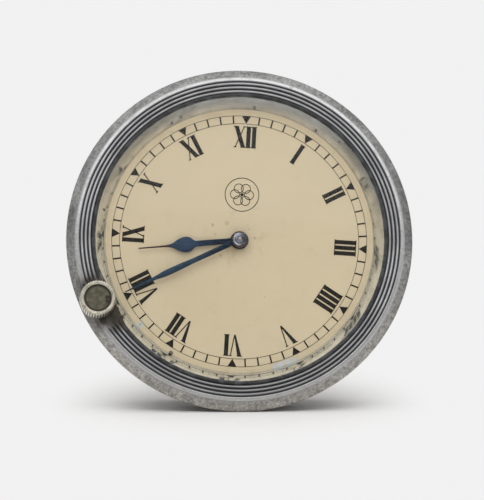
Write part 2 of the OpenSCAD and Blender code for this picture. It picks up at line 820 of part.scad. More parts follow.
module back_cover() {
    skirt = 4;
    cover_r = drum_r + 0.05;
    upright() color("darkgray") difference() {
        union() {
            translate([0, 0, -drum_depth - cover_t]) cylinder(r = cover_r + sheet_t, h = cover_t);
            tube(cover_r + sheet_t, cover_r, -drum_depth - 0.01, skirt);
        }
        for (s = [-1, 1]) at([s * stud_spacing / 2, 0], -drum_depth - 2)
            cylinder(r = stud_neck_r + 0.1, h = 4);
    }
}

// Each stud stands on the back plate, with a neck through the cover and the nut
module mounting_studs() {
    nut_back_z = -drum_depth - cover_t - nut_t;
    end_z = nut_back_z - stud_l;
    r = stud_d / 2;
    upright() color("silver") for (s = [-1, 1]) at([s * stud_spacing / 2, 0]) rotate_extrude() polygon([
        [0, end_z], [r - 0.6, end_z], [r, end_z + 0.6], [r, nut_back_z - 0.3],
        [stud_neck_r, nut_back_z - 0.3], [stud_neck_r, -drum_depth], [r + 0.6, -drum_depth],
        [r + 0.6, back_plate_z], [0, back_plate_z]
    ]);
}

module stud_nuts() {
    upright() color("silver") for (s = [-1, 1])
        at([s * stud_spacing / 2, 0], -drum_depth - cover_t - nut_t) difference() {
            cylinder(r = nut_r, h = nut_t, $fn = 6);
            translate([0, 0, -1]) cylinder(r = stud_neck_r + fit_gap, h = nut_t + 2);
        }
}

module case_screws() {
    upright() color("silver") for (c = post_clocks) at(polar(post_at_r, c), front_plate_z)
        slotted_screw(1.4, 0.9, 0.8, front_plate_t + 2);
}

// Movement frame

module front_plate() {
    holes = [
        [centre_p, centre_arbor_r + run_gap], [barrel_p, 1 + run_gap], [third_p, pivot_r + run_gap],
        [fourth_p, pivot_r + run_gap], [escape_p, pivot_r + run_gap],
        [setting_p, 0.6 + run_gap], [stem_at_p, bush_r + fit_gap],
        [minute_p, 0.5 + fit_gap], [idler_p, 0.6 + fit_gap], [transfer_p, 0.6 + fit_gap],
        [click_p, 0.6 + fit_gap]
    ];
    upright() color("goldenrod") difference() {
        translate([0, 0, front_back_z]) cylinder(r = case_r - sheet_t - 0.3, h = front_plate_t);
        for (hole = holes) at(hole[0], front_back_z - 1) cylinder(r = hole[1], h = 4);
        for (c = post_clocks) at(polar(post_at_r, c), front_back_z - 1) cylinder(r = 0.9, h = 4);
        for (c = foot_clocks) at(polar(foot_at_r, c), front_back_z - 1)
            cylinder(r = foot_r + fit_gap, h = 4);
    }
}

module back_plate() {
    holes = [
        [centre_p, pivot_r + 0.1 + run_gap], [barrel_p, 1 + run_gap], [third_p, pivot_r + run_gap],
        [fourth_p, pivot_r + run_gap], [escape_p, 0.55], [pallet_p, 0.6 + fit_gap],
        [balance_p, 0.6 + fit_gap], [escape_foot_p, 0.6 + fit_gap], [cock_foot_p, 0.6 + fit_gap]
    ];
    upright() color("goldenrod") difference() {
        translate([0, 0, back_plate_z]) cylinder(r = back_plate_r, h = back_plate_t);
        for (hole = holes) at(hole[0], back_plate_z - 1) cylinder(r = hole[1], h = 4);
        for (c = pillar_clocks) at(polar(pillar_at_r, c), back_plate_z - 1) cylinder(r = 0.9, h = 4);
    }
}

module pillars() {
    upright() color("goldenrod") for (c = pillar_clocks) at(polar(pillar_at_r, c), back_front_z)
        difference() {
            cylinder(r = pillar_r, h = plate_gap);
            translate([0, 0, -1]) cylinder(r = 0.8 + fit_gap, h = 4);
        }
}

module pillar_screws() {
    upright() color("steelblue") for (c = pillar_clocks) at(polar(pillar_at_r, c), back_plate_z)
        mirror([0, 0, 1]) slotted_screw(1.6, 0.8, 0.8, back_plate_t + 2);
}

// Shoulder screws: studs that the transfer wheel, click, minute wheel and idler turn on
module shoulder_screws() {
    upright() color("steelblue") {
        for (p = [transfer_p, click_p]) at(p) {
            translate([0, 0, winding_z - 0.6]) cylinder(r = 1.2, h = 0.5);
            translate([0, 0, winding_z - 0.11]) cylinder(r = 0.6, h = front_plate_z - winding_z + 0.11);
        }
        at(minute_p) translate([0, 0, front_back_z])
            cylinder(r = 0.5, h = hour_wheel_z + motion_t + 0.3 - front_back_z);
        at(idler_p) {
            translate([0, 0, front_back_z]) cylinder(r = 0.6, h = motion_z + motion_t - front_back_z + 0.1);
            translate([0, 0, motion_z + motion_t + 0.09]) cylinder(r = 1.2, h = 0.5);
        }
    }
}

// Mainspring barrel and winding wheels

module mainspring_barrel() {
    upright() color("goldenrod") at(barrel_p) difference() {
        union() {
            translate([0, 0, barrel_rim_z - barrel_rim_t]) linear_extrude(barrel_rim_t)
                rotate(barrel_turn) polygon(gear_points(barrel_teeth, barrel_m, wheel_root, wheel_tip));
            translate([0, 0, barrel_back_z]) cylinder(r = barrel_wall_r, h = barrel_rim_z - barrel_back_z);
        }
        translate([0, 0, barrel_back_z - 1])
            cylinder(r = barrel_wall_r - 0.6, h = barrel_rim_z - barrel_rim_t - barrel_back_z + 1);
        translate([0, 0, barrel_back_z]) cylinder(r = 1 + slide_gap, h = 10);
    }
}

module barrel_cover() {
    upright() color("goldenrod") at(barrel_p, barrel_back_z)
        tube(barrel_wall_r - 0.6 - fit_gap, 1 + slide_gap, 0, 0.4);
}

// Strip wound as a spiral, in straight facets
module spiral_strip(r_in, r_out, turns, t, steps) {
    n = ceil(turns * steps);
    function r_at(i) = r_in + (r_out - r_in) * i / n;
    function spot(i, off) = (r_at(i) + off) * [cos(i * 360 / steps), sin(i * 360 / steps)];
    polygon(concat([for (i = [0 : n]) spot(i, 0)], [for (i = [n : -1 : 0]) spot(i, -t)]));
}

module mainspring() {
    upright() color("steelblue") at(barrel_p, barrel_back_z + 0.6)
        linear_extrude(barrel_rim_z - barrel_rim_t - barrel_back_z - 0.8)
            spiral_strip(barrel_arbor_r + 0.6, barrel_wall_r - 0.7, 7, 0.35, 16);
}

module barrel_arbor() {
    upright() color("silver") at(barrel_p) {
        translate([0, 0, back_plate_z]) cylinder(r = 1, h = front_plate_z - back_plate_z);
        translate([0, 0, barrel_back_z + 0.5])
            cylinder(r = barrel_arbor_r, h = barrel_rim_z - barrel_rim_t - barrel_back_z - 0.6);
    }
}

module ratchet_wheel() {
    upright() color("silver") at(barrel_p) wheel(
        ratchet_teeth, wind_m, ratchet_turn, winding_z, winding_t, 1 + fit_gap, 3.4, rim = 1.4, spokes = 5,
        spoke_w = 1.2);
}

module transfer_wheel() {
    upright() color("silver") at(transfer_p) wheel(
        transfer_teeth, wind_m, transfer_turn, winding_z, winding_t, 0.6 + slide_gap, 1.8, rim = 1.3,
        spokes = 5, spoke_w = 1.1);
}

module click() {
    reach = beak_p - click_p;
    upright() color("steelblue") at(click_p, winding_z) difference() {
        linear_extrude(winding_t) {
            circle(1.4);
            rotate(atan2(reach[1], reach[0]))
                polygon([[0, -1.3], [norm(reach), 0], [norm(reach) - 0.9, 0.9], [0, 1.3]]);
        }
        translate([0, 0, -1]) cylinder(r = 0.6 + slide_gap, h = 3);
    }
}

module click_spring() {
    foot = beyond(click_p, 7.2, 10);
    upright() color("steelblue") at(foot, winding_z) {
        cylinder(r = 1.1, h = front_back_z - winding_z);
        linear_extrude(0.5) rotate(heading(foot, click_p)) translate([0, 0.85]) square([5.4, 0.25]);
    }
}

// Going train

module centre_arbor() {
    upright() color("silver") {
        arbor(centre_arbor_r, back_front_z, cap_hold_z, pivot_r + 0.1, centre_arbor_r, 1.1, 0);
        pinion(centre_leaves, barrel_m, centre_turn, barrel_rim_z - barrel_rim_t - 0.2,
            barrel_rim_t + 0.4);
    }
}

module centre_wheel() {
    upright() color("goldenrod") wheel(
        centre_teeth, centre_m, centre_turn, centre_wheel_z - train_t, train_t, centre_arbor_r + fit_gap,
        1.8);
}

module third_arbor() {
    upright() color("silver") at(third_p) {
        arbor(0.4, back_front_z, front_back_z);
        pinion(third_leaves, centre_m, third_pinion_turn, centre_wheel_z - train_t - 0.2, train_t + 0.4);
    }
}

module third_wheel() {
    upright() color("goldenrod") at(third_p) wheel(
        third_teeth, third_m, 0, third_wheel_z - train_t, train_t, 0.4 + fit_gap, 1.5, spoke_w = 0.6);
}

module fourth_arbor() {
    upright() color("silver") at(fourth_p) {
        arbor(0.35, back_front_z, front_back_z);
        pinion(fourth_leaves, third_m, fourth_pinion_turn, third_wheel_z - train_t - 0.2, train_t + 0.4);
    }
}

module fourth_wheel() {
    upright() color("goldenrod") at(fourth_p) wheel(
        fourth_teeth, fourth_m, 0, fourth_wheel_z - train_t, train_t, 0.35 + fit_gap, 1.4, spoke_w = 0.5);
}

module escape_arbor() {
    upright() color("silver") at(escape_p) {
        arbor(0.3, escape_cock_z + 0.2, front_back_z, pivot_r - 0.1, pivot_r, 0.6, 1);
        pinion(escape_leaves, fourth_m, escape_pinion_turn, fourth_wheel_z - train_t - 0.2,
            train_t + 0.4);
    }
}

// Motion work and setting train

module cannon_pinion() {
    upright() color("silver") {
        pinion(cannon_teeth, motion_m, 0, motion_z - 0.2, motion_t + 0.4, bore = centre_arbor_r + fit_gap);
        tube(cannon_r, centre_arbor_r + fit_gap, motion_z, minute_hand_z + hand_t - motion_z);
    }
}

module minute_wheel() {
    upright() color("goldenrod") at(minute_p) {
        wheel(minute_teeth, motion_m, minute_turn, motion_z, motion_t, 0.5 + slide_gap, 1.6, rim = 0.8,
            spoke_w = 0.6);
        pinion(minute_leaves, hour_m, 0, motion_z + motion_t - 0.01,
            hour_wheel_z - motion_z + 0.2, bore = 0.5 + slide_gap);
    }
}

module hour_wheel() {
    upright() color("goldenrod") {
        wheel(hour_teeth, hour_m, hour_turn, hour_wheel_z, motion_t, cannon_r + slide_gap, 2, rim = 0.8,
            spoke_w = 0.6);
        tube(hour_pipe_r, cannon_r + slide_gap, hour_wheel_z, hour_hand_z + hand_t - hour_wheel_z);
    }
}

module setting_idler() {
    upright() color("goldenrod") at(idler_p) wheel(
        idler_teeth, motion_m, idler_turn, motion_z, motion_t, 0.6 + slide_gap, 2, rim = 1.2, spokes = 5);
}

module setting_wheel() {
    upright() color("silver") at(setting_p) {
        wheel(setting_teeth, wind_m, 0, setting_z, setting_t, 0.3, 2.2, rim = 0.4);
        translate([0, 0, setting_z]) cylinder(r = 0.6, h = motion_z + motion_t - setting_z);
        pinion(setting_leaves, motion_m, setting_turn, motion_z - 0.1, motion_t + 0.2);
    }
}

// Escapement, behind the back plate

module escape_wheel() {
    step = 360 / escape_count;
    upright() color("silver") at(escape_p, escape_wheel_z - 0.2) linear_extrude(0.2) difference() {
        polygon([
            for (i = [0 : escape_count - 1])
                for (corner = [[0, 2.4], [0.3, 2.45], [0.78, escape_r], [0.9, escape_r], [0.86, 2.5]])
                    corner[1] * [cos((i + corner[0]) * step), sin((i + corner[0]) * step)]
        ]);
        circle(0.3 + fit_gap);
        difference() {
            circle(1.9);
            circle(0.8);
            for (i = [0 : 3]) rotate(i * 90) translate([0, -0.2]) square([2.5, 0.4]);
        }
    }
}

module pallet_fork() {
    stone_r = norm([escape_r / cos(30) - 3.03 * escape_r / 3.2, 1.75]);
    stone_way = atan2(1.75, escape_r / cos(30) - 3.03 * escape_r / 3.2);
    upright() color("silver") at(pallet_p, fork_z) toward(fork_dir) {
        translate([0, 0, -0.2]) linear_extrude(0.2) difference() {
            union() {
                circle(0.8);
                translate([0, -0.25]) square([3.4, 0.5]);
                translate([3.2, -0.6]) square([0.6, 1.2]);
                for (s = [-1, 1]) rotate(s * (180 - stone_way)) translate([0, -0.3]) square([stone_r + 0.5, 0.6]);
            }
            circle(pivot_r + fit_gap);
            translate([3.45, -0.2]) square([1, 0.4]);
        }
        for (s = [-1, 1]) rotate(s * (180 - stone_way)) translate([stone_r + 0.05, -0.2, -0.1])
            cube([0.4, 0.4, 0.8]);
    }
}

module pallet_arbor() {
    upright() color("silver") at(pallet_p)
        arbor(pivot_r, escape_cock_z + 0.15, back_plate_z - 0.1, 0.15, 0.15, 0.5, 0.9);
}

module escape_cock() {
    way = heading(escape_foot_p, pallet_p);
    reach = norm(pallet_p - escape_foot_p);
    upright() color("goldenrod") at(escape_foot_p) {
        difference() {
            translate([0, 0, escape_cock_z - 0.5]) linear_extrude(0.5) {
                circle(1.4);
                rotate(way) translate([0, -1.1]) square([reach, 2.2]);
                translate(pallet_p - escape_foot_p) circle(1.1);
            }
            translate([0, 0, escape_cock_z - 1]) cylinder(r = 0.6 + fit_gap, h = 2);
            for (p = [escape_p, pallet_p]) at(p - escape_foot_p, escape_cock_z - 1)
                cylinder(r = 0.15 + run_gap, h = 2);
        }
        difference() {
            translate([0, 0, escape_cock_z - 0.01])
                cylinder(r = 1.4, h = back_plate_z - escape_cock_z + 0.01);
            translate([0, 0, escape_cock_z - 1]) cylinder(r = 0.6 + fit_gap, h = 10);
        }
    }
}

module balance_wheel() {
    rim_w = 0.9;
    upright() color("goldenrod") at(balance_p) {
        tube(balance_r, balance_r - rim_w, balance_z - 1, 1);
        translate([0, 0, balance_z - 0.6]) linear_extrude(0.3) difference() {
            union() {
                circle(1);
                for (i = [0 : 2]) rotate(i * 120) translate([0, -0.4]) square([balance_r - 0.4, 0.8]);
            }
            circle(0.35 + fit_gap);
        }
    }
}

// Staff with its roller, whose pin stands just behind the fork's notch
module balance_staff() {
    pin_h = fork_z - 0.3 - roller_z;
    upright() color("silver") at(balance_p) {
        arbor(0.35, cock_z + 0.1, back_plate_z - 0.1, 0.12, 0.12, 0.6, 0.9);
        translate([0, 0, roller_z - 0.25]) cylinder(r = 1.4, h = 0.25);
        translate([-1.1 * sin(fork_dir), -1.1 * cos(fork_dir), roller_z - 0.01])
            cylinder(r = 0.14, h = pin_h + 0.01);
        translate([0, 0, spring_z - 0.1]) cylinder(r = 0.7, h = 0.5);
    }
}

module hairspring() {
    upright() color("steelblue") at(balance_p, spring_z) linear_extrude(0.25)
        toward(80) spiral_strip(spring_in_r, spring_out_r, spring_turns, spring_strip_t, 16);
}

module hairspring_stud() {
    spot = beyond(balance_p, spring_out_r + 0.35, 80);
    upright() color("silver") at(spot, spring_z - 0.1) cylinder(r = 0.28, h = 0.5);
}

module balance_cock() {
    way = heading(balance_p, cock_foot_p);
    stud_spot = polar(spring_out_r + 0.35, 80);
    upright() color("goldenrod") at(balance_p) {
        difference() {
            translate([0, 0, cock_z - cock_t]) linear_extrude(cock_t) {
                circle(2.2);
                rotate(way) translate([0, -1.8]) square([norm(cock_foot_p - balance_p), 3.6]);
                translate(cock_foot_p - balance_p) circle(2.2);
                rotate(10) translate([0, -0.7]) square([4.6, 1.4]);
                translate(stud_spot) circle(0.9);
            }
            translate([0, 0, cock_z - 3]) cylinder(r = 0.6 + fit_gap, h = 6);
            at(cock_foot_p - balance_p, cock_z - 3) cylinder(r = 0.6 + fit_gap, h = 6);
        }
        at(stud_spot, cock_z - 0.01) cylinder(r = 0.28, h = spring_z - 0.1 - cock_z + 0.01);
        difference() {
            at(cock_foot_p - balance_p, cock_z - 0.01) cylinder(r = 2.2, h = back_plate_z - cock_z + 0.01);
            at(cock_foot_p - balance_p, cock_z - 3) cylinder(r = 0.6 + fit_gap, h = 20);
        }
    }
}

module cock_screws() {
    upright() color("steelblue") {
        at(cock_foot_p, cock_z - cock_t) mirror([0, 0, 1])
            slotted_screw(1.3, 0.7, 0.6, back_front_z - cock_z + cock_t);
        at(escape_foot_p, escape_cock_z - 0.5) mirror([0, 0, 1])
            slotted_screw(1, 0.5, 0.6, back_front_z - escape_cock_z + 0.5);
    }
}

// Index lever on the cock, with two curb pins either side of the hairspring's outer coil
module regulator() {
    low = cock_z - cock_t - regulator_t;
    upright() color("silver") at(balance_p) {
        translate([0, 0, low]) linear_extrude(regulator_t) difference() {
            union() {
                circle(1.7);
                toward(170) polygon([[0, -0.8], [7.5, -0.3], [8, 0], [7.5, 0.3], [0, 0.8]]);
                toward(20) translate([0, -0.5]) square([4.7, 1]);
            }
            circle(0.75);
        }
        for (r = [coil_r - spring_strip_t - 0.18, coil_r + 0.18]) at(polar(r, 20), low + 0.1)
            cylinder(r = 0.1, h = spring_z + 0.3 - low - 0.1);
    }
}

// Jewels in the plate and the cock for the pallet arbor and the balance staff
module jewels() {
    upright() color("crimson") {
        at(pallet_p) tube(0.6, 0.15 + run_gap, back_plate_z, 0.6);
        at(balance_p) tube(0.6, 0.12 + run_gap, back_plate_z, 0.6);
        at(balance_p) tube(0.6, 0.12 + run_gap, cock_z - 0.6, 0.6);
    }
}

bezel();
crystal();
reflector_ring();
dial();
hour_numerals();
minute_track();
dial_motif();
dial_rest_ring();
hour_hand();
minute_hand();
hand_cap();
winding_knob();
winding_stem();
stem_bush();
setting_yoke();
yoke_guide_pin();
detent_spring();
case_shell();
back_cover();
mounting_studs();
stud_nuts();
case_screws();
front_plate();
back_plate();
pillars();
pillar_screws();
shoulder_screws();
mainspring_barrel();
barrel_cover();
mainspring();
barrel_arbor();
ratchet_wheel();
transfer_wheel();
click();
click_spring();
centre_arbor();
centre_wheel();
cannon_pinion();
minute_wheel();
hour_wheel();
setting_idler();
setting_wheel();
third_arbor();
third_wheel();
fourth_arbor();
fourth_wheel();
escape_arbor();
escape_wheel();
pallet_fork();
pallet_arbor();
escape_cock();
balance_wheel();
balance_staff();
hairspring();
hairspring_stud();
balance_cock();
cock_screws();
regulator();
jewels();
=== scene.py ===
"""A dashboard clock with a ridged bezel, domed glass and a winding knob, dressed for its portrait.

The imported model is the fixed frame. The pieces that show are modelled again here with finer shapes,
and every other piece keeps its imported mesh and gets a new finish.
Pieces are drawn the way the clock lies on a bench, in millimetres: dial up (+Z) and twelve o'clock
at +Y. ClockMesh.finish stands them up so that the dial faces -Y, and scales them to metres.
"""

import json
import logging
import math
from dataclasses import dataclass
from enum import Enum
from functools import cache
from typing import Callable, Sequence

import bmesh
import bpy
from mathutils import Matrix, Vector


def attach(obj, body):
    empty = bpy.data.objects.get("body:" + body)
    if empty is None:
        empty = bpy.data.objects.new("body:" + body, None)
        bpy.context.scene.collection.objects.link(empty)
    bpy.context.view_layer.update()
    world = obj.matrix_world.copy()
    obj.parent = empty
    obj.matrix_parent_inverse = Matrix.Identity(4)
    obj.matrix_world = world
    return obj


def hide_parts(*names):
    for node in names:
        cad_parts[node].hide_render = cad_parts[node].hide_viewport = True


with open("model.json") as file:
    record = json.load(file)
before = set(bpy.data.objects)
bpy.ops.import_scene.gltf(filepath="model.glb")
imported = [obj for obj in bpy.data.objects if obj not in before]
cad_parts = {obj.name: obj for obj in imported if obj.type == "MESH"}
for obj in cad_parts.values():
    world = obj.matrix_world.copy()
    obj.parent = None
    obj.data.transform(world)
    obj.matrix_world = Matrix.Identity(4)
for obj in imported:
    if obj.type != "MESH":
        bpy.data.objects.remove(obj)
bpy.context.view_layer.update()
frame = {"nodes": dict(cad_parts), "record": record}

LOG = logging.getLogger("dashboard_clock")
MM = 0.001
STEM_AT = (-31.963, -16.995)
SAME_POINT = 0.0002

Colour = tuple[float, float, float]
Mark = tuple[float, float, float, Colour]
Section = list[tuple[float, float]]
Socket = bpy.types.NodeSocket


def grey(level: float) -> Colour:
    """Return a neutral colour of one level."""
    return (level, level, level)


def scaled(colour: Colour, by: float) -> Colour:
    """Return a lighter or darker colour."""
    return (by * colour[0], by * colour[1], by * colour[2])


def smooth(low: float, high: float, value: float) -> float:
    """Ease a value from 0 at low to 1 at high.

    Args:
        low: Value at which the result starts to rise.
        high: Value at which the result reaches 1.
        value: The value to ease.

    Returns:
        A number from 0 to 1.
    """
    t = min(max((value - low) / (high - low), 0.0), 1.0)
    return t * t * (3 - 2 * t)


def at_clock(radius: float, clock: float) -> Vector:
    """Return the bench position at a radius and a clock angle in degrees from twelve."""
    angle = math.radians(clock)
    return Vector((radius * math.sin(angle), radius * math.cos(angle), 0.0))


def arc(centre: tuple[float, float], radius: float, start: float, end: float, count: int) -> Section:
    """Return the points of an arc in a section.

    Args:
        centre: Radius and height of its centre.
        radius: Radius of the arc.
        start: First angle in degrees.
        end: Last angle in degrees.
        count: Number of steps.

    Returns:
        The points in order.
    """
    turns = [math.radians(start + (end - start) * i / count) for i in range(count + 1)]
    return [(centre[0] + radius * math.cos(a), centre[1] + radius * math.sin(a)) for a in turns]


# Node trees


class Value:
    """A number in a node tree that can be added to and multiplied like a plain one."""

    def __init__(self, nodes: "Nodes", socket: Socket) -> None:
        """Wrap a socket of a tree."""
        self.nodes = nodes
        self.socket = socket

    def __add__(self, other: "Number") -> "Value":
        """Return the sum of both."""
        return self.nodes.reckon("ADD", self, other)

    def __sub__(self, other: "Number") -> "Value":
        """Return this value less the other."""
        return self.nodes.reckon("SUBTRACT", self, other)

    def __mul__(self, other: "Number") -> "Value":
        """Return the product of both."""
        return self.nodes.reckon("MULTIPLY", self, other)


Number = Value | Socket | float


class Nodes:
    """Short calls for the nodes of one tree."""

    def __init__(self, tree: bpy.types.NodeTree) -> None:
        """Take over a tree."""
        self.tree = tree

    def add(self, kind: str, inputs: dict[int | str, object] | None = None,
            **settings: object) -> bpy.types.Node:
        """Add a node.

        Args:
            kind: Type of the node, without the words ShaderNode in front.
            inputs: Source or constant of each input, by its name or number.
            settings: The node's own settings.

        Returns:
            The node.
        """
        node = self.tree.nodes.new("ShaderNode" + kind)
        for name, setting in settings.items():
            setattr(node, name, setting)
        for name, value in (inputs or {}).items():
            self.feed(node.inputs[name], value)
        return node

    def feed(self, target: Socket, value: object) -> None:
        """Link an input to its source, or set its constant.

        Args:
            target: Input socket that receives the value.
            value: A value of the tree, a socket, a number, a vector or a colour.
        """
        source = value.socket if isinstance(value, Value) else value
        if isinstance(source, bpy.types.NodeSocket):
            self.tree.links.new(source, target)
        elif target.type == "RGBA":
            target.default_value = (*source, 1.0)
        else:
            target.default_value = source

    def reckon(self, kind: str, first: Number, second: Number = 0.0, clamp: bool = False) -> Value:
        """Combine two values.

        Args:
            kind: Name of the math operation.
            first: First operand.
            second: Second operand, which some operations leave unread.
            clamp: Keep the result between 0 and 1.

        Returns:
            The result.
        """
        node = self.add("Math", {0: first, 1: second}, operation=kind, use_clamp=clamp)
        return Value(self, node.outputs[0])

    def step(self, value: Number, low: float, high: float, start: float = 0.0, end: float = 1.0) -> Value:
        """Ease a value from start at low to end at high.

        Args:
            value: Value to read.
            low: Value at which the result is start.
            high: Value at which the result is end.
            start: Result below low.
            end: Result above high.

        Returns:
            The eased result.
        """
        node = self.add("MapRange", {
            "Value": value, "From Min": low, "From Max": high, "To Min": start, "To Max": end
        }, interpolation_type="SMOOTHSTEP")
        return Value(self, node.outputs["Result"])

    def blend(self, share: Number, first: Socket, second: Socket) -> Socket:
        """Return two shaders blended by the second one's share."""
        return self.add("MixShader", {0: share, 1: first, 2: second}).outputs["Shader"]


class Tree(Nodes):
    """Node tree of one material, with the patterns that the finishes use."""

    def __init__(self, name: str, colour: Colour, metallic: float, roughness: float) -> None:
        """Start a tree with one shader.

        Args:
            name: Name of the material.
            colour: Plain colour, used where no node drives it.
            metallic: Plain metallic value.
            roughness: Plain roughness value.
        """
        self.material = bpy.data.materials.new(name)
        self.material.use_nodes = True
        super().__init__(self.material.node_tree)
        self.tree.nodes.clear()
        self.shader = self.add(
            "BsdfPrincipled", {"Base Color": colour, "Metallic": metallic, "Roughness": roughness})
        self.surface = self.shader.outputs["BSDF"]
        self.output = self.add("OutputMaterial", {"Surface": self.surface})
        coords = self.add("TexCoord").outputs["Object"]
        self.place = self.add("Mapping", {"Vector": coords, "Scale": grey(1 / MM)}).outputs["Vector"]

    def drive(self, socket: str, value: object) -> None:
        """Drive one of the shader's sockets from the tree, or set its constant."""
        self.feed(self.shader.inputs[socket], value)

    def show(self, surface: Socket) -> None:
        """Show a shader in place of the plain one."""
        self.feed(self.output.inputs["Surface"], surface)

    def moved(self, move: Sequence[float] = (0, 0, 0), scale: Sequence[float] = (1, 1, 1)) -> Socket:
        """Return the coordinates shifted, then stretched.

        Args:
            move: Shift in millimetres.
            scale: Stretch along each axis.

        Returns:
            The changed coordinates.
        """
        shifted = self.add("VectorMath", {0: self.place, 1: move}, operation="ADD").outputs[0]
        return self.add("VectorMath", {0: shifted, 1: scale}, operation="MULTIPLY").outputs[0]

    def distance(self, x: float = 0.0, z: float = 0.0) -> Value:
        """Return the distance in millimetres from a line through the dial at (x, z)."""
        flat = self.moved((-x, 0, -z), (1, 0, 1))
        return Value(self, self.add("VectorMath", {0: flat}, operation="LENGTH").outputs["Value"])

    def axis(self, name: str) -> Value:
        """Return one of the coordinates X, Y or Z in millimetres."""
        return Value(self, self.add("SeparateXYZ", {0: self.place}).outputs[name])

    def height(self) -> Value:
        """Return the height in millimetres in front of the panel."""
        return self.axis("Y") * -1.0

    def along(self, way: Vector) -> Value:
        """Return the distance in millimetres along a direction."""
        node = self.add("VectorMath", {0: self.place, 1: way}, operation="DOT_PRODUCT")
        return Value(self, node.outputs["Value"])

    def noise(self, size: float, detail: float = 3.0, rough: float = 0.55,
              where: Socket | None = None) -> Value:
        """Return a cloudy pattern from 0 to 1.

        Args:
            size: Size of its clouds in millimetres.
            detail: Number of finer octaves.
            rough: Strength of the finer octaves.
            where: Coordinates to read in place of the plain ones.

        Returns:
            The pattern.
        """
        node = self.add("TexNoise", {
            "Vector": where or self.place, "Scale": 1.0 / size, "Detail": detail, "Roughness": rough})
        return Value(self, node.outputs["Fac"])

    def spots(self, size: float, core: float, edge: float, share: float = 1.0) -> Value:
        """Return scattered round spots.

        Args:
            size: Size in millimetres of the cells that hold one spot each.
            core: Radius of a spot's full core, in cell sizes.
            edge: Radius of its soft edge, in cell sizes.
            share: Strength of the spots.

        Returns:
            The share in a spot and 0 outside.
        """
        node = self.add("TexVoronoi", {"Vector": self.place, "Scale": 1.0 / size})
        return self.step(node.outputs["Distance"], core, edge, share, 0.0)

    def mix(self, share: Number, first: Colour | Socket, second: Colour | Socket,
            kind: str = "MIX") -> Socket:
        """Blend two colours.

        Args:
            share: Share of the second colour.
            first: Colour or socket at share 0.
            second: Colour or socket at share 1.
            kind: Name of the way to blend them.

        Returns:
            The blended colour.
        """
        node = self.add("Mix", data_type="RGBA", blend_type=kind)
        for socket, value in (("Factor", share), (6, first), (7, second)):
            self.feed(node.inputs[socket], value)
        return node.outputs[2]

    def tint(self, share: Number, colour: Colour | Socket, by: Colour) -> Socket:
        """Return a colour multiplied by another, by a share."""
        return self.mix(share, colour, by, "MULTIPLY")

    def marked(self, colour: Socket, marks: Sequence[Mark], ragged: Value) -> Socket:
        """Lay round marks over a colour.

        Args:
            colour: Colour below the marks.
            marks: Clock angle, radius, size in millimetres and colour of each mark.
            ragged: Pattern from 0 to 1 that roughens their edges.

        Returns:
            The marked colour.
        """
        for clock, radius, size, mark in marks:
            spot = at_clock(radius, clock)
            near = self.distance(spot.x, spot.y) + ragged * (0.6 * size)
            colour = self.mix(self.step(near, 0.9 * size, 1.45 * size, 0.85, 0.0), colour, mark)
        return colour

    def bump(self, height: Value, depth: float, strength: float = 0.5) -> None:
        """Raise the surface by a pattern.

        Args:
            height: Pattern from 0 to 1.
            depth: Height of the pattern in millimetres.
            strength: Share of the effect.
        """
        inputs = {"Strength": strength, "Distance": depth * MM, "Height": height}
        earlier = self.shader.inputs["Normal"].links
        if earlier:
            inputs["Normal"] = earlier[0].from_socket
        self.drive("Normal", self.add("Bump", inputs).outputs["Normal"])


# Finishes


@dataclass(frozen=True)
class Finish:
    """A finish that can build its material.

    Attributes:
        name: Name of the material.
        colour: Main colour.
        metallic: Metallic value.
        roughness: Roughness in the middle of its variation.
    """

    name: str
    colour: Colour
    metallic: float = 1.0
    roughness: float = 0.4

    @cache
    def material(self) -> bpy.types.Material:
        """Return the finished material, built on the first call."""
        tree = Tree(self.name, self.colour, self.metallic, self.roughness)
        self.paint(tree)
        return tree.material

    def paint(self, tree: Tree) -> None:
        """Add this finish's own nodes to the tree."""
        raise NotImplementedError

    def uneven(self, tree: Tree, pattern: Value, less: float, more: float, high: float = 0.7) -> None:
        """Vary the roughness about its middle.

        Args:
            tree: Tree of the material.
            pattern: Pattern from 0 to 1 that it follows.
            less: Change where the pattern is low.
            more: Change where the pattern is high.
            high: Value of the pattern that counts as high.
        """
        tree.drive("Roughness", tree.step(pattern, 0.3, high, self.roughness - less, self.roughness + more))


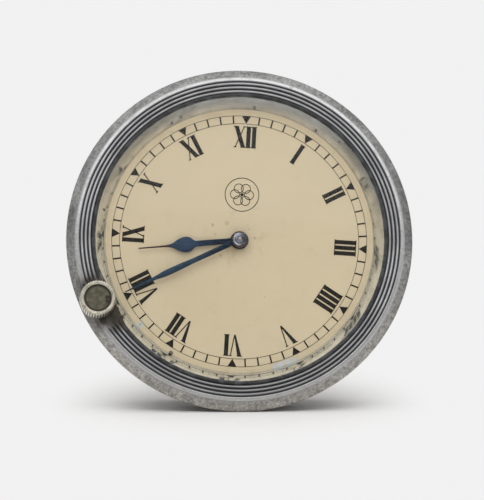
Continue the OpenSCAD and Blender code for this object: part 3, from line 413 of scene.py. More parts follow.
@dataclass(frozen=True)
class AgedBezelMetal(Finish):
    """Grey metal with a worn bright shoulder, dark grooves and lip, painted light and shade that change round
    the ring, and grime beside the knob that also stands for the knob's painted shadow.

    Attributes:
        lip_end: Radius where the dark lip gives way to the ridges.
        shoulder_start: Radius where the polished shoulder starts.
        shoulder_end: Radius where the matt flank starts.
        groove_z: Height of the bottom of the grooves.
        crest_z: Height of the ridges.
        tail_at: Radius and clock angle of the end of the grime and painted knob shadow beside the knob.
        lip: Colour of the lip.
        groove: Colour in the grooves.
        crest: Colour of the ridges.
        shoulder: Colour of the shoulder.
        grime: Colour of the dirt beside the knob, which also serves as the knob's painted shadow.
        dull: Colour of the lower part, painted to dull the shoulder there as painted shade and to lighten the
            flank there as a painted reflection of the floor.
    """

    lip_end: float = 34.35
    shoulder_start: float = 37.15
    shoulder_end: float = 38.12
    groove_z: float = 2.85
    crest_z: float = 3.17
    tail_at: tuple[float, float] = (33.9, 235.0)
    lip: Colour = (0.044, 0.044, 0.045)
    groove: Colour = (0.056, 0.056, 0.06)
    crest: Colour = (0.48, 0.482, 0.49)
    shoulder: Colour = (0.6, 0.6, 0.6)
    grime: Colour = (0.062, 0.05, 0.036)
    dull: Colour = (0.34, 0.325, 0.3)

    def paint(self, tree: Tree) -> None:
        """Lay the zones side by side from the lip outwards, and the grime with the knob's painted shadow over
        them.
        """
        radius = tree.distance()
        height = tree.height()
        cloud = tree.noise(7.0, 4.0)
        blotch = tree.noise(1.9, 5.0, 0.62)
        pitted = tree.noise(0.8, 3.0, 0.6)
        grain = tree.noise(0.34, 3.0, 0.6)
        scratch = tree.noise(0.5, 3.0, 0.6, tree.moved(scale=(1, 1, 0.16)))
        # Share that rises towards the bottom of the bezel; it places the painted shade and the painted floor
        # reflection of the lower part.
        across = tree.axis("Z") + (cloud - 0.5) * 30.0
        under = tree.step(across, 4.0, -34.0)
        painted_lower_tone = tree.mix(tree.step(blotch, 0.42, 0.6), scaled(self.dull, 0.74), self.dull)
        ridged = tree.step(radius, self.lip_end - 0.1, self.lip_end + 0.1)
        polished = tree.step(radius, self.shoulder_start - 0.08, self.shoulder_start + 0.1)
        matt = tree.step(radius, self.shoulder_end - 0.12, self.shoulder_end + 0.16)

        lip = tree.mix(tree.step(blotch, 0.4, 0.64), self.lip, scaled(self.lip, 1.9))
        # The lighter inner edge of the lip is partly wear and partly a painted edge highlight.
        rubbed_edge_and_highlight = tree.step(radius, 33.32, 33.5, 0.55, 0.0) * tree.step(blotch, 0.35, 0.6)
        lip = tree.mix(rubbed_edge_and_highlight, lip, grey(0.3))

        # Painted highlight: the ridge crests are lighter towards three and nine o'clock; painted shade: they
        # are darker towards the bottom.
        beside = tree.step(tree.reckon("ABSOLUTE", tree.axis("X")), 28.0, 36.5)
        crest = tree.tint(under, tree.mix(beside, self.crest, scaled(self.crest, 1.66)), grey(0.76))
        worn = tree.step(height, self.groove_z, self.crest_z) * tree.step(cloud, 0.25, 0.7, 0.7, 1.0)
        ridges = tree.mix(worn, self.groove, crest)

        bright = tree.tint(tree.step(blotch, 0.5, 0.7, 0.0, 0.5), self.shoulder, grey(0.6))
        # Painted shade: the shoulder is darker towards the top, toning down the overhead lamp's reflection.
        bright = tree.tint(tree.step(across, 0.0, 32.0), bright, grey(0.8))
        # Painted shade: the shoulder is dulled towards the bottom.
        bright = tree.mix(under * 0.3, bright, painted_lower_tone)
        bright = tree.tint(tree.step(grain, 0.42, 0.6, 0.0, 0.3), bright, grey(0.6))

        flank = tree.mix(tree.step(blotch, 0.3, 0.72), scaled(self.colour, 0.74), self.colour)
        flank = tree.mix(tree.step(cloud, 0.42, 0.75, 0.0, 0.6), flank, scaled(self.colour, 1.6))
        # Painted reflection of the floor: the flank is lighter towards the bottom.
        flank = tree.mix(under * 0.85, flank, tree.tint(1.0, painted_lower_tone, grey(1.55)))
        flank = tree.mix(tree.step(radius, 39.3, 38.1, 0.0, 0.4), flank, scaled(self.colour, 1.5))
        flank = tree.tint(tree.step(grain, 0.42, 0.58, 0.0, 0.58), flank, grey(0.5))
        flank = tree.tint(tree.step(pitted, 0.62, 0.42), flank, grey(1.5))
        flank = tree.tint(1.0, flank, grey(0.86))

        # Dirt beside the knob and along a tail below it, partly a painted shadow of the knob.
        tail = at_clock(*self.tail_at)
        near = tree.reckon("MINIMUM", tree.distance(*STEM_AT), tree.distance(tail.x, tail.y) + 2.6)
        grime_and_knob_shadow = tree.step(near + (blotch - 0.5) * 2.6, 4.6, 8.2, 1.0, 0.0)
        grime_and_knob_shadow = grime_and_knob_shadow * tree.step(radius, self.shoulder_end - 0.5, self.shoulder_end + 1.2, 1.0, 0.25)
        dirt = tree.mix(tree.step(blotch, 0.35, 0.66), scaled(self.grime, 0.45), self.grime)

        colour = tree.mix(ridged, lip, ridges)
        colour = tree.mix(polished, colour, bright)
        colour = tree.mix(matt, colour, flank)
        tree.drive("Base Color", tree.mix(grime_and_knob_shadow, colour, dirt))
        shine = tree.step(radius, self.lip_end - 0.1, self.lip_end + 0.1, 0.36, 0.34)
        shine = shine + polished * -0.08 + matt * 0.24 + grime_and_knob_shadow * 0.15 + under * polished * 0.08
        tree.drive("Roughness", tree.reckon("ADD", shine, tree.step(blotch, 0.3, 0.7, -0.05, 0.07), True))
        bare = tree.step(height, 2.85, 3.1, 0.55, 1.0) * tree.step(grime_and_knob_shadow, 0.0, 1.0, 1.0, 0.35)
        tree.drive("Metallic", tree.reckon("MAXIMUM", bare, matt * 0.9))
        tree.bump(grain * tree.step(matt, 0.0, 1.0, 0.25, 1.0), 0.03, 0.6)
        tree.bump(blotch, 0.03)
        tree.bump(scratch, 0.006)


@dataclass(frozen=True)
class ClearGlass(Finish):
    """Thin clear glass that lets the lamps through to the dial.

    Attributes:
        index: Index of refraction.
        smeared: Roughness of its smears.
        clear: Colour of the light that it lets through.
    """

    metallic: float = 0.0
    roughness: float = 0.0
    index: float = 1.19
    smeared: float = 0.035
    clear: Colour = (0.975, 0.98, 0.975)

    def paint(self, tree: Tree) -> None:
        """Make the glass clear, with faint smears, and open it to lamps."""
        tree.drive("Transmission Weight", 1.0)
        tree.drive("IOR", self.index)
        tree.drive("Roughness", tree.step(tree.noise(9.0, 3.0, 0.6), 0.45, 0.75, 0.0, self.smeared))
        tree.bump(tree.noise(14.0, 1.0), 0.01, 0.4)
        path = tree.add("LightPath").outputs
        lit = tree.reckon("MAXIMUM", path["Is Shadow Ray"], path["Is Diffuse Ray"])
        clear = tree.add("BsdfTransparent", {"Color": self.clear}).outputs["BSDF"]
        tree.show(tree.blend(lit, tree.surface, clear))


@dataclass(frozen=True)
class MirrorRing(Finish):
    """Polished ring with age specks, a soft haze, a slightly wavy face, a painted reflection of the dial and
    a painted highlight low down.

    Attributes:
        dial_reflection_tint: Colour near the dial in the upper half, a painted reflection of the cream dial.
        hazed: Colour near the bezel in the upper half.
        bright: Colour near the bezel in the lower half, a painted highlight.
        speck: Colour of the small specks.
        marks: Larger marks, each with its clock angle, radius, size and colour.
    """

    dial_reflection_tint: Colour = (0.8, 0.77, 0.7)
    hazed: Colour = (0.46, 0.455, 0.42)
    bright: Colour = (0.88, 0.93, 0.97)
    speck: Colour = (0.09, 0.085, 0.08)
    marks: tuple[Mark, ...] = (
        (207.6, 31.15, 0.5, (0.03, 0.03, 0.025)),
        (297.5, 32.0, 0.5, (0.22, 0.24, 0.27)),
        (327.0, 31.6, 0.4, (0.2, 0.24, 0.24)),
        (331.5, 31.9, 0.4, (0.2, 0.24, 0.24)),
        (279.0, 32.0, 0.35, (0.2, 0.12, 0.09)),
        (31.0, 31.5, 0.34, (0.2, 0.2, 0.18)),
        (59.5, 31.9, 0.5, (0.2, 0.24, 0.22)),
        (63.0, 32.1, 0.5, (0.2, 0.24, 0.22)),
        (41.5, 32.6, 0.3, (0.28, 0.18, 0.2)),
        (3.0, 31.5, 0.4, (0.3, 0.27, 0.24)),
    )

    def paint(self, tree: Tree) -> None:
        """Add the painted reflection and highlight, the specks, the haze and the waves."""
        cloud = tree.noise(3.4, 4.0, 0.6)
        fine = tree.noise(0.42, 3.0, 0.65)
        upper = tree.step(tree.axis("Z"), -8.0, 24.0)
        # Painted reflection of the cream dial near the dial in the upper half, and a painted highlight near
        # the bezel in the lower half.
        foot = tree.mix(upper, self.colour, self.dial_reflection_tint)
        brow = tree.mix(upper, self.bright, self.hazed)
        colour = tree.mix(tree.step(tree.distance(), 31.3, 32.7), foot, brow)
        colour = tree.tint(tree.step(cloud, 0.4, 0.75), colour, grey(0.78))
        colour = tree.tint(tree.step(fine, 0.55, 0.72, 0.0, 0.3), colour, (0.55, 0.53, 0.48))
        specks = tree.spots(1.15, 0.1, 0.17) * tree.step(cloud, 0.5, 0.62)
        colour = tree.mix(specks * 0.75, colour, self.speck)
        tree.drive("Base Color", tree.marked(colour, self.marks, fine))
        haze = tree.step(tree.axis("Z"), 4.0, 24.0, 0.0, 0.14) * tree.step(cloud, 0.3, 0.7, 0.7, 1.2)
        grainy = tree.step(fine, 0.35, 0.72, 0.0, 0.12) * tree.step(upper, 0.0, 1.0, 1.0, 0.1)
        tree.drive("Roughness", grainy + haze + self.roughness)
        tree.bump(cloud, 0.035)
        tree.bump(fine, 0.002)


@dataclass(frozen=True)
class DialPaint(Finish):
    """Cream dial paint with a soft sheen, faint stains by the hub, a little grime at its rim and painted
    reflections near the rim.

    Attributes:
        stain: Colour that the paint is multiplied by where it is stained.
        hub_stain: The same near the hub.
        rim_stain: The same near the rim.
        darker_patch: The same in a broad darker patch to the lower left of the hub.
        darker_patch_at: Place of the darker patch.
        speck: Colour of the small specks.
        marks: Marks, each with its clock angle, radius, size and colour; the bluish ones near the rim are
            painted reflections.
    """

    metallic: float = 0.0
    stain: Colour = (0.74, 0.66, 0.54)
    hub_stain: Colour = (0.72, 0.64, 0.5)
    rim_stain: Colour = (0.74, 0.7, 0.6)
    darker_patch: Colour = (0.86, 0.84, 0.8)
    darker_patch_at: tuple[float, float] = (-9.0, -15.0)
    speck: Colour = (0.17, 0.13, 0.09)
    marks: tuple[Mark, ...] = (
        # Painted reflections: bluish glints near the rim at about five o'clock.
        (152.0, 30.4, 0.6, (0.5, 0.56, 0.62)),
        (155.0, 30.35, 0.75, (0.52, 0.59, 0.67)),
        (158.4, 30.35, 0.75, (0.52, 0.59, 0.67)),
        (161.2, 30.4, 0.6, (0.5, 0.56, 0.62)),
        (207.6, 30.7, 0.6, (0.035, 0.034, 0.024)),
        # Painted reflection: a bluish glint with a darker middle near the rim at about half past seven.
        (225.9, 30.25, 0.8, (0.5, 0.55, 0.55)),
        (225.9, 30.2, 0.3, (0.3, 0.33, 0.36)),
        (297.8, 7.2, 0.42, (0.46, 0.38, 0.24)),
        (322.4, 5.1, 0.6, (0.54, 0.45, 0.29)),
        (228.3, 5.5, 0.34, (0.56, 0.36, 0.18)),
        (74.9, 3.7, 0.36, (0.46, 0.38, 0.25)),
    )

    def paint(self, tree: Tree) -> None:
        """Add the shading, stains, painted reflections and fine texture of old paint."""
        radius = tree.distance()
        wide = tree.noise(22.0, 2.0, 0.5)
        cloud = tree.noise(3.0, 5.0, 0.62)
        colour = tree.mix(tree.step(wide, 0.3, 0.7), scaled(self.colour, 0.97), self.colour)
        colour = tree.tint(tree.step(cloud, 0.5, 0.8, 0.0, 0.16), colour, self.stain)
        hub = tree.step(radius, 2.5, 9.0, 1.0, 0.0) * tree.step(cloud, 0.52, 0.66)
        colour = tree.tint(hub * 0.3, colour, self.hub_stain)
        rim = tree.step(radius, 28.0, 31.2) * tree.step(cloud, 0.3, 0.7, 0.35, 1.0)
        colour = tree.tint(rim * 0.42, colour, self.rim_stain)
        # A broad darker patch to the lower left of the hub.
        worn = tree.step(tree.distance(*self.darker_patch_at) + wide * 9.0, 6.0, 20.0, 1.0, 0.0)
        colour = tree.tint(worn * 0.36, colour, self.darker_patch)
        specks = tree.spots(3.4, 0.03, 0.055, 0.6) * tree.step(cloud, 0.42, 0.5)
        colour = tree.mix(specks, colour, self.speck)
        tree.drive("Base Color", tree.marked(colour, self.marks, tree.noise(0.42, 3.0, 0.65)))
        self.uneven(tree, cloud, 0.05, 0.08)
        tree.drive("Specular IOR Level", 0.4)
        tree.bump(tree.noise(0.22, 2.0), 0.004)


@dataclass(frozen=True)
class PrintedInk(Finish):
    """Dark printed ink, a little thinner in places.

    Attributes:
        thin: Colour where the ink is thin.
    """

    metallic: float = 0.0
    thin: Colour = (0.09, 0.078, 0.062)

    def paint(self, tree: Tree) -> None:
        """Add the thin places and the rough face of a print."""
        cloud = tree.noise(1.1, 4.0, 0.6)
        tree.drive("Base Color", tree.mix(tree.step(cloud, 0.55, 0.85, 0.0, 0.6), self.colour, self.thin))
        self.uneven(tree, cloud, 0.06, 0.1)
        tree.drive("Specular IOR Level", 0.12)
        tree.bump(tree.noise(0.16, 2.0), 0.01)


@dataclass(frozen=True)
class BluedSteel(Finish):
    """Heat blued steel, with the colour drifting towards grey and violet.

    Attributes:
        needle_from: Distance from the hub past which the blue has turned brown.
        violet: Colour that it drifts to.
        brown: Colour of the needle.
    """

    needle_from: float = 90.0
    violet: Colour = (0.07, 0.065, 0.09)
    brown: Colour = (0.075, 0.05, 0.045)

    def paint(self, tree: Tree) -> None:
        """Add the drift of the blue, the shade by the hub and the fine grain."""
        radius = tree.distance()
        cloud = tree.noise(2.6, 4.0, 0.6)
        grain = tree.noise(0.2, 2.0)
        colour = tree.mix(tree.step(cloud, 0.35, 0.7), self.colour, scaled(self.colour, 1.5))
        colour = tree.mix(tree.step(cloud, 0.6, 0.85, 0.0, 0.4), colour, self.violet)
        colour = tree.tint(tree.step(radius, 5.0, 13.0, 1.0, 0.0), colour, grey(0.5))
        needle = tree.step(radius, self.needle_from - 0.8, self.needle_from + 0.8)
        tree.drive("Base Color", tree.mix(needle, colour, self.brown))
        self.uneven(tree, grain, 0.06, 0.1)
        tree.bump(grain, 0.004)


@dataclass(frozen=True)
class CapSteel(Finish):
    """Domed steel cap with a burnished ring, a bright centre and painted light on its left side.

    Attributes:
        ring_in: Inner radius of the ring.
        ring_out: Outer radius of the ring.
        pin_r: Radius of the bright centre.
        rim: Colour outside the ring.
        ring: Colour of the ring in the shade.
        ring_lit: Colour of the ring in the light.
        pin: Colour of the centre.
    """

    ring_in: float = 1.18
    ring_out: float = 1.46
    pin_r: float = 0.47
    rim: Colour = (0.085, 0.075, 0.075)
    ring: Colour = (0.1, 0.095, 0.1)
    ring_lit: Colour = (0.48, 0.47, 0.52)
    pin: Colour = (0.42, 0.36, 0.34)

    def paint(self, tree: Tree) -> None:
        """Add the ring, the centre, the tarnish and the painted light on the left."""
        radius = tree.distance()
        cloud = tree.noise(0.9, 4.0, 0.6)
        # Painted light: the cap and its ring are lighter on the left side, where a reflection shows.
        worn = tree.step(tree.axis("X"), 0.7, -0.5)
        colour = tree.mix(tree.step(cloud, 0.35, 0.7), self.colour, scaled(self.colour, 0.6))
        colour = tree.tint(worn, tree.tint(1.0, colour, grey(0.55)), grey(1.8))
        colour = tree.mix(tree.step(radius, self.ring_out, self.ring_out + 0.16), colour, self.rim)
        past_in = tree.step(radius, self.ring_in - 0.08, self.ring_in + 0.08)
        within = tree.step(radius, self.ring_out - 0.08, self.ring_out + 0.08, 1.0, 0.0)
        colour = tree.mix(past_in * within, colour, tree.mix(worn, self.ring, self.ring_lit))
        centre = tree.step(radius, self.pin_r - 0.05, self.pin_r + 0.05, 0.8, 0.0)
        tree.drive("Base Color", tree.mix(centre, colour, self.pin))
        self.uneven(tree, cloud, 0.05, 0.12)
        tree.bump(tree.noise(0.15, 2.0), 0.004)


@dataclass(frozen=True)
class WornNickel(Finish):
    """Nickel knob: bright worn rim, grime in the coin edge and a soiled recessed face with painted shade
    round its edge.

    Attributes:
        face_r: Radius of the recessed face.
        valley_r: Radius at the bottom of the coin edge.
        edge_r: Radius at its crests.
        dirt: Colour of the grime in the edge.
        yellow: Colour that the rim is multiplied by where it is dull.
        face: Dark and light colour of the face.
        pit: Colour of its pits.
        spot: Colour of the dark spots beside its middle.
        spots: Places of the dark spots, seen from the stem.
        corner: Colour of the painted shade round the edge of the face.
    """

    face_r: float = 3.18
    valley_r: float = 3.98
    edge_r: float = 4.13
    dirt: Colour = (0.075, 0.068, 0.048)
    yellow: Colour = (0.5, 0.46, 0.38)
    face: tuple[Colour, Colour] = ((0.105, 0.098, 0.066), (0.19, 0.178, 0.13))
    pit: Colour = (0.045, 0.04, 0.03)
    spot: Colour = (0.025, 0.022, 0.016)
    spots: tuple[tuple[float, float], ...] = ((2.25, 0.35), (2.3, -0.6))
    corner: Colour = (0.02, 0.017, 0.012)

    def paint(self, tree: Tree) -> None:
        """Add the grime, the worn edges, the dull face and the painted shade round its edge."""
        radius = tree.distance(*STEM_AT)
        cloud = tree.noise(1.3, 5.0, 0.62)
        fine = tree.noise(0.24, 3.0, 0.6)
        crest = tree.step(radius, self.valley_r, self.edge_r)
        rim = tree.mix(tree.step(cloud, 0.42, 0.7), self.colour, scaled(self.colour, 0.62))
        rim = tree.tint(tree.step(fine, 0.52, 0.7, 0.0, 0.6), rim, self.yellow)
        outside = tree.mix(tree.step(tree.height(), 8.2, 8.35), tree.mix(crest, self.dirt, self.colour), rim)
        face = tree.mix(tree.step(cloud, 0.36, 0.68), *self.face)
        face = tree.mix(tree.step(fine, 0.56, 0.74, 0.0, 0.5), face, self.pit)
        near = [tree.distance(STEM_AT[0] + x, STEM_AT[1] + z) for x, z in self.spots]
        spot = tree.step(tree.reckon("MINIMUM", *near) + cloud * 0.8, 0.65, 1.2, 0.85, 0.0)
        face = tree.mix(spot, face, self.spot)
        # Painted shade: the face darkens towards its edge, inside the recess.
        face = tree.mix(tree.step(radius + cloud * 0.3, 2.6, 3.1, 0.0, 0.85), face, self.corner)
        inside = tree.step(radius, self.face_r - 0.06, self.face_r + 0.06, 1.0, 0.0)
        tree.drive("Base Color", tree.mix(inside, outside, face))
        dull = tree.step(inside, 0.0, 1.0, self.roughness, 0.62) + tree.step(crest, 0.0, 1.0, 0.2, 0.0)
        tree.drive("Roughness", tree.reckon("ADD", dull, tree.step(fine, 0.3, 0.7, -0.05, 0.08), True))
        tree.drive("Metallic", tree.step(inside, 0.0, 1.0, self.metallic, 0.35))
        tree.bump(cloud, 0.04)
        tree.bump(fine, 0.012, 0.6)


class Grain(Enum):
    """Ways in which a metal was finished, each with the stretch of its marks along X, Y and Z."""

    CAST = (1.0, 1.0, 1.0)
    BRUSHED = (0.06, 1.0, 1.0)
    TURNED = (1.0, 0.08, 1.0)


@dataclass(frozen=True)
class WorkedMetal(Finish):
    """Metal of the case and the movement, with machining marks and tarnish.

    Attributes:
        grain: Way in which the surface was worked.
        tarnish: Colour that the metal is multiplied by where it is tarnished.
        spread: Share of the surface that is tarnished.
        cloud_size: Size of the tarnish clouds in millimetres.
    """

    grain: Grain = Grain.CAST
    tarnish: Colour = (0.62, 0.6, 0.56)
    spread: float = 0.5
    cloud_size: float = 3.0

    def paint(self, tree: Tree) -> None:
        """Add the marks of the tool and the tarnish."""
        cloud = tree.noise(self.cloud_size, 5.0, 0.62)
        mark = tree.noise(0.35, 3.0, 0.6, tree.moved(scale=self.grain.value))
        shade = tree.step(cloud, 0.7 - 0.4 * self.spread, 0.85, 0.0, 0.8)
        colour = tree.tint(shade, self.colour, self.tarnish)
        colour = tree.tint(tree.step(mark, 0.45, 0.7, 0.0, 0.25), colour, grey(0.7))
        colour = tree.tint(tree.spots(self.cloud_size * 0.9, 0.05, 0.11, 0.5) * shade, colour, grey(0.3))
        tree.drive("Base Color", colour)
        self.uneven(tree, cloud, 0.06, 0.16, 0.75)
        tree.bump(mark, 0.01)
        tree.bump(tree.noise(0.18, 2.0), 0.004)


@dataclass(frozen=True)
class Ruby(Finish):
    """Red synthetic ruby of the bearings.

    Attributes:
        light: Its lighter colour.
        index: Index of refraction.
    """

    metallic: float = 0.0
    light: Colour = (0.5, 0.02, 0.06)
    index: float = 1.76

    def paint(self, tree: Tree) -> None:
        """Add the depth of colour and the polish."""
        cloud = tree.noise(0.5, 2.0)
        tree.drive("Base Color", tree.mix(tree.step(cloud, 0.3, 0.7), self.colour, self.light))
        self.uneven(tree, cloud, 0.0, 0.08)
        tree.drive("IOR", self.index)
        tree.drive("Coat Weight", 0.5)


@dataclass(frozen=True)
class Palette:
    """The clock's finishes."""

    bezel: Finish = AgedBezelMetal("aged_bezel_metal", (0.3, 0.299, 0.295), 1.0, 0.5)
    glass: Finish = ClearGlass("clear_glass", (1.0, 1.0, 1.0))
    mirror: Finish = MirrorRing("mirror_ring", (0.74, 0.78, 0.83), 1.0, 0.08)
    dial: Finish = DialPaint("cream_dial_paint", (0.7, 0.58, 0.388), 0.0, 0.44)
    ink: Finish = PrintedInk("dark_print", (0.017, 0.0145, 0.011), 0.0, 0.5)
    blued: Finish = BluedSteel("blued_steel", (0.026, 0.044, 0.068), 1.0, 0.32)
    blued_spade: Finish = BluedSteel("blued_spade", (0.028, 0.046, 0.078), 1.0, 0.32, 16.2)
    cap: Finish = CapSteel("cap_steel", (0.2, 0.23, 0.27), 1.0, 0.24)
    knob: Finish = WornNickel("worn_nickel", (0.67, 0.63, 0.53), 1.0, 0.34)
    case: Finish = WorkedMetal("case_plating", (0.42, 0.415, 0.395), 1.0, 0.42, cloud_size=6.0)
    cover: Finish = WorkedMetal("cover_plating", (0.45, 0.44, 0.42), 1.0, 0.36, Grain.BRUSHED, cloud_size=8.0)
    steel: Finish = WorkedMetal("worked_steel", (0.5, 0.5, 0.51), 1.0, 0.28, Grain.TURNED, spread=0.35)
    thread: Finish = WorkedMetal("threaded_steel", (0.4, 0.39, 0.37), 1.0, 0.4, spread=0.6)
    plate: Finish = WorkedMetal(
        "plate_brass", (0.72, 0.53, 0.25), 1.0, 0.34, Grain.BRUSHED, (0.72, 0.6, 0.42), 0.4, 7.0)
    wheel: Finish = WorkedMetal(
        "wheel_brass", (0.78, 0.58, 0.28), 1.0, 0.26, Grain.TURNED, (0.72, 0.6, 0.42), 0.35, 2.5)
    spring: Finish = BluedSteel("spring_steel", (0.05, 0.08, 0.16), 1.0, 0.26)
    ruby: Finish = Ruby("bearing_ruby", (0.32, 0.008, 0.03), 0.0, 0.08)
    pewter: Finish = WorkedMetal("pressed_ring", (0.38, 0.37, 0.35), 1.0, 0.46)


# Mesh work


def body_of(node: str) -> str:
    """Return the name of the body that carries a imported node."""
    bodies = frame["record"]["behaviour"]["bodies"]
    return next(body for body, nodes in bodies.items() if node in nodes)


def edges_of(verts: Sequence[bmesh.types.BMVert]) -> list[bmesh.types.BMEdge]:
    """Return the edges at some vertices, each once and in order."""
    return list(dict.fromkeys(e for v in verts for e in v.link_edges))


class ClockMesh:
    """A mesh drawn on the bench in millimetres, and turned into a finished piece."""

    def __init__(self) -> None:
        """Start an empty mesh."""
        self.bm = bmesh.new()

    def chain(self, points: Sequence[Sequence[float]]) -> tuple[list, list]:
        """Draw a line through some points.

        Args:
            points: Its points.

        Returns:
            The vertices and the edges.
        """
        verts = [self.bm.verts.new(point) for point in points]
        return verts, [self.bm.edges.new(pair) for pair in zip(verts, verts[1:])]

    def spin(self, profile: Section, steps: int, closed: bool = True, centre: Vector | None = None) -> None:
        """Turn a profile about an axis along +Z.

        Args:
            profile: Points of radius and height.
            steps: Number of steps in the full turn.
            closed: Join the last point to the first.
            centre: Place of the axis; the clock's own axis if left out.
        """
        middle = centre or Vector()
        before = set(self.bm.verts)
        verts, edges = self.chain([(middle.x + r, middle.y, z) for r, z in profile])
        if closed:
            edges.append(self.bm.edges.new((verts[-1], verts[0])))
        bmesh.ops.spin(
            self.bm, geom=[*verts, *edges], cent=middle, axis=(0, 0, 1), dvec=(0, 0, 0),
            angle=math.tau, steps=steps, use_merge=True, use_duplicate=False)
        made = [v for v in self.bm.verts if v not in before]
        bmesh.ops.remove_doubles(self.bm, verts=made, dist=0.0005)

    def rings(self, segments: int, levels: Section, shape: Callable[[int, int], float],
              centre: Vector) -> None:
        """Stack rings of vertices, each extruded from the one before, and close both ends.

        Args:
            segments: Vertices in a ring.
            levels: Radius and height of each ring.
            shape: Change of radius for a ring's number and a vertex's number.
            centre: Place of the stack's axis.
        """
        circle = bmesh.ops.create_circle(self.bm, cap_ends=False, segments=segments, radius=levels[0][0])
        order = {v: i for i, v in enumerate(circle["verts"])}
        ends = [list(order)]
        edges = edges_of(ends[0])
        for number, (radius, height) in enumerate(levels):
            if number:
                made = bmesh.ops.extrude_edge_only(self.bm, edges=edges)["geom"]
                fresh = [g for g in made if isinstance(g, bmesh.types.BMVert)]
                edges = [g for g in made if isinstance(g, bmesh.types.BMEdge)]
                above = {e.other_vert(old): i for old, i in order.items() for e in old.link_edges}
                order = {v: above[v] for v in fresh}
            for v, i in order.items():
                reach = radius + shape(number, i)
                angle = math.tau * i / segments
                spot = (centre.x + reach * math.cos(angle), centre.y + reach * math.sin(angle), height)
                v.co = Vector(spot)
        ends.append(list(order))
        for loop in ends:
            members = set(loop)
            border = [e for e in edges_of(loop) if e.is_boundary and members.issuperset(e.verts)]
            bmesh.ops.contextual_create(self.bm, geom=border)

    def sheet(self, stations: Section, low: float, thick: float, crown: float) -> None:
        """Make a flat bar along +X from half widths, mirrored about the X axis and crowned along it.

        Args:
            stations: Distance along X and half width, from the hub to the tip.
            low: Height of the lower face.
            thick: Thickness at the edge.
            crown: Further height along the middle where the bar is widest.
        """
        widest = max(half for _, half in stations)
        round_off = 0.05
        _, edges = self.chain([(x, half, low + thick - round_off) for x, half in stations])
        for lift, narrow in ((round_off, True), (crown, False)):
            made = bmesh.ops.extrude_edge_only(self.bm, edges=edges)["geom"]
            edges = [g for g in made if isinstance(g, bmesh.types.BMEdge)]
            for v in (g for g in made if isinstance(g, bmesh.types.BMVert)):
                v.co.z += lift * (1.0 if narrow else v.co.y / widest)
                v.co.y = max(v.co.y - round_off, 0.6 * v.co.y) if narrow else 0.0
        bmesh.ops.mirror(
            self.bm, geom=[*self.bm.verts, *self.bm.edges, *self.bm.faces], matrix=Matrix.Identity(4),
            merge_dist=0.0001, axis="Y")
        border = [e for e in self.bm.edges if e.is_boundary]
        made = bmesh.ops.extrude_edge_only(self.bm, edges=border)["geom"]
        for v in (g for g in made if isinstance(g, bmesh.types.BMVert)):
            v.co.z = low
        bmesh.ops.remove_doubles(self.bm, verts=self.bm.verts, dist=SAME_POINT)
        bmesh.ops.contextual_create(self.bm, geom=[e for e in self.bm.edges if e.is_boundary])

    def turn(self, clock: float) -> None:
        """Turn everything from the +X direction to a clock angle."""
        matrix = Matrix.Rotation(math.radians(90 - clock), 4, "Z")
        bmesh.ops.transform(self.bm, matrix=matrix, verts=self.bm.verts)

    def finish(self, name: str, node: str, look: Finish, crease: float = 35.0) -> None:
        """Stand the mesh up, dress it and hang it on the body of the node it stands for.

        Args:
            name: Name of the piece.
            node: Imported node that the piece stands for.
            look: Its finish.
            crease: Angle in degrees past which an edge stays sharp.
        """
        bmesh.ops.remove_doubles(self.bm, verts=self.bm.verts, dist=SAME_POINT)
        bmesh.ops.recalc_face_normals(self.bm, faces=self.bm.faces)
        upright = Matrix.Rotation(math.radians(90), 4, "X") @ Matrix.Scale(MM, 4)
        bmesh.ops.transform(self.bm, matrix=upright, verts=self.bm.verts)
        mesh = bpy.data.meshes.new(name)
        self.bm.to_mesh(mesh)
        self.bm.free()
        mesh.materials.append(look.material())
        mesh.shade_smooth()
        mesh.set_sharp_from_angle(angle=math.radians(crease))
        piece = bpy.data.objects.new(name, mesh)
        bpy.context.scene.collection.objects.link(piece)
        body = body_of(node)
        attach(piece, body)
        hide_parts(node)
        triangles = sum(len(p.vertices) - 2 for p in mesh.polygons)
        LOG.info("%s: %d triangles, on body %s", name, triangles, body)


# Sub-assemblies


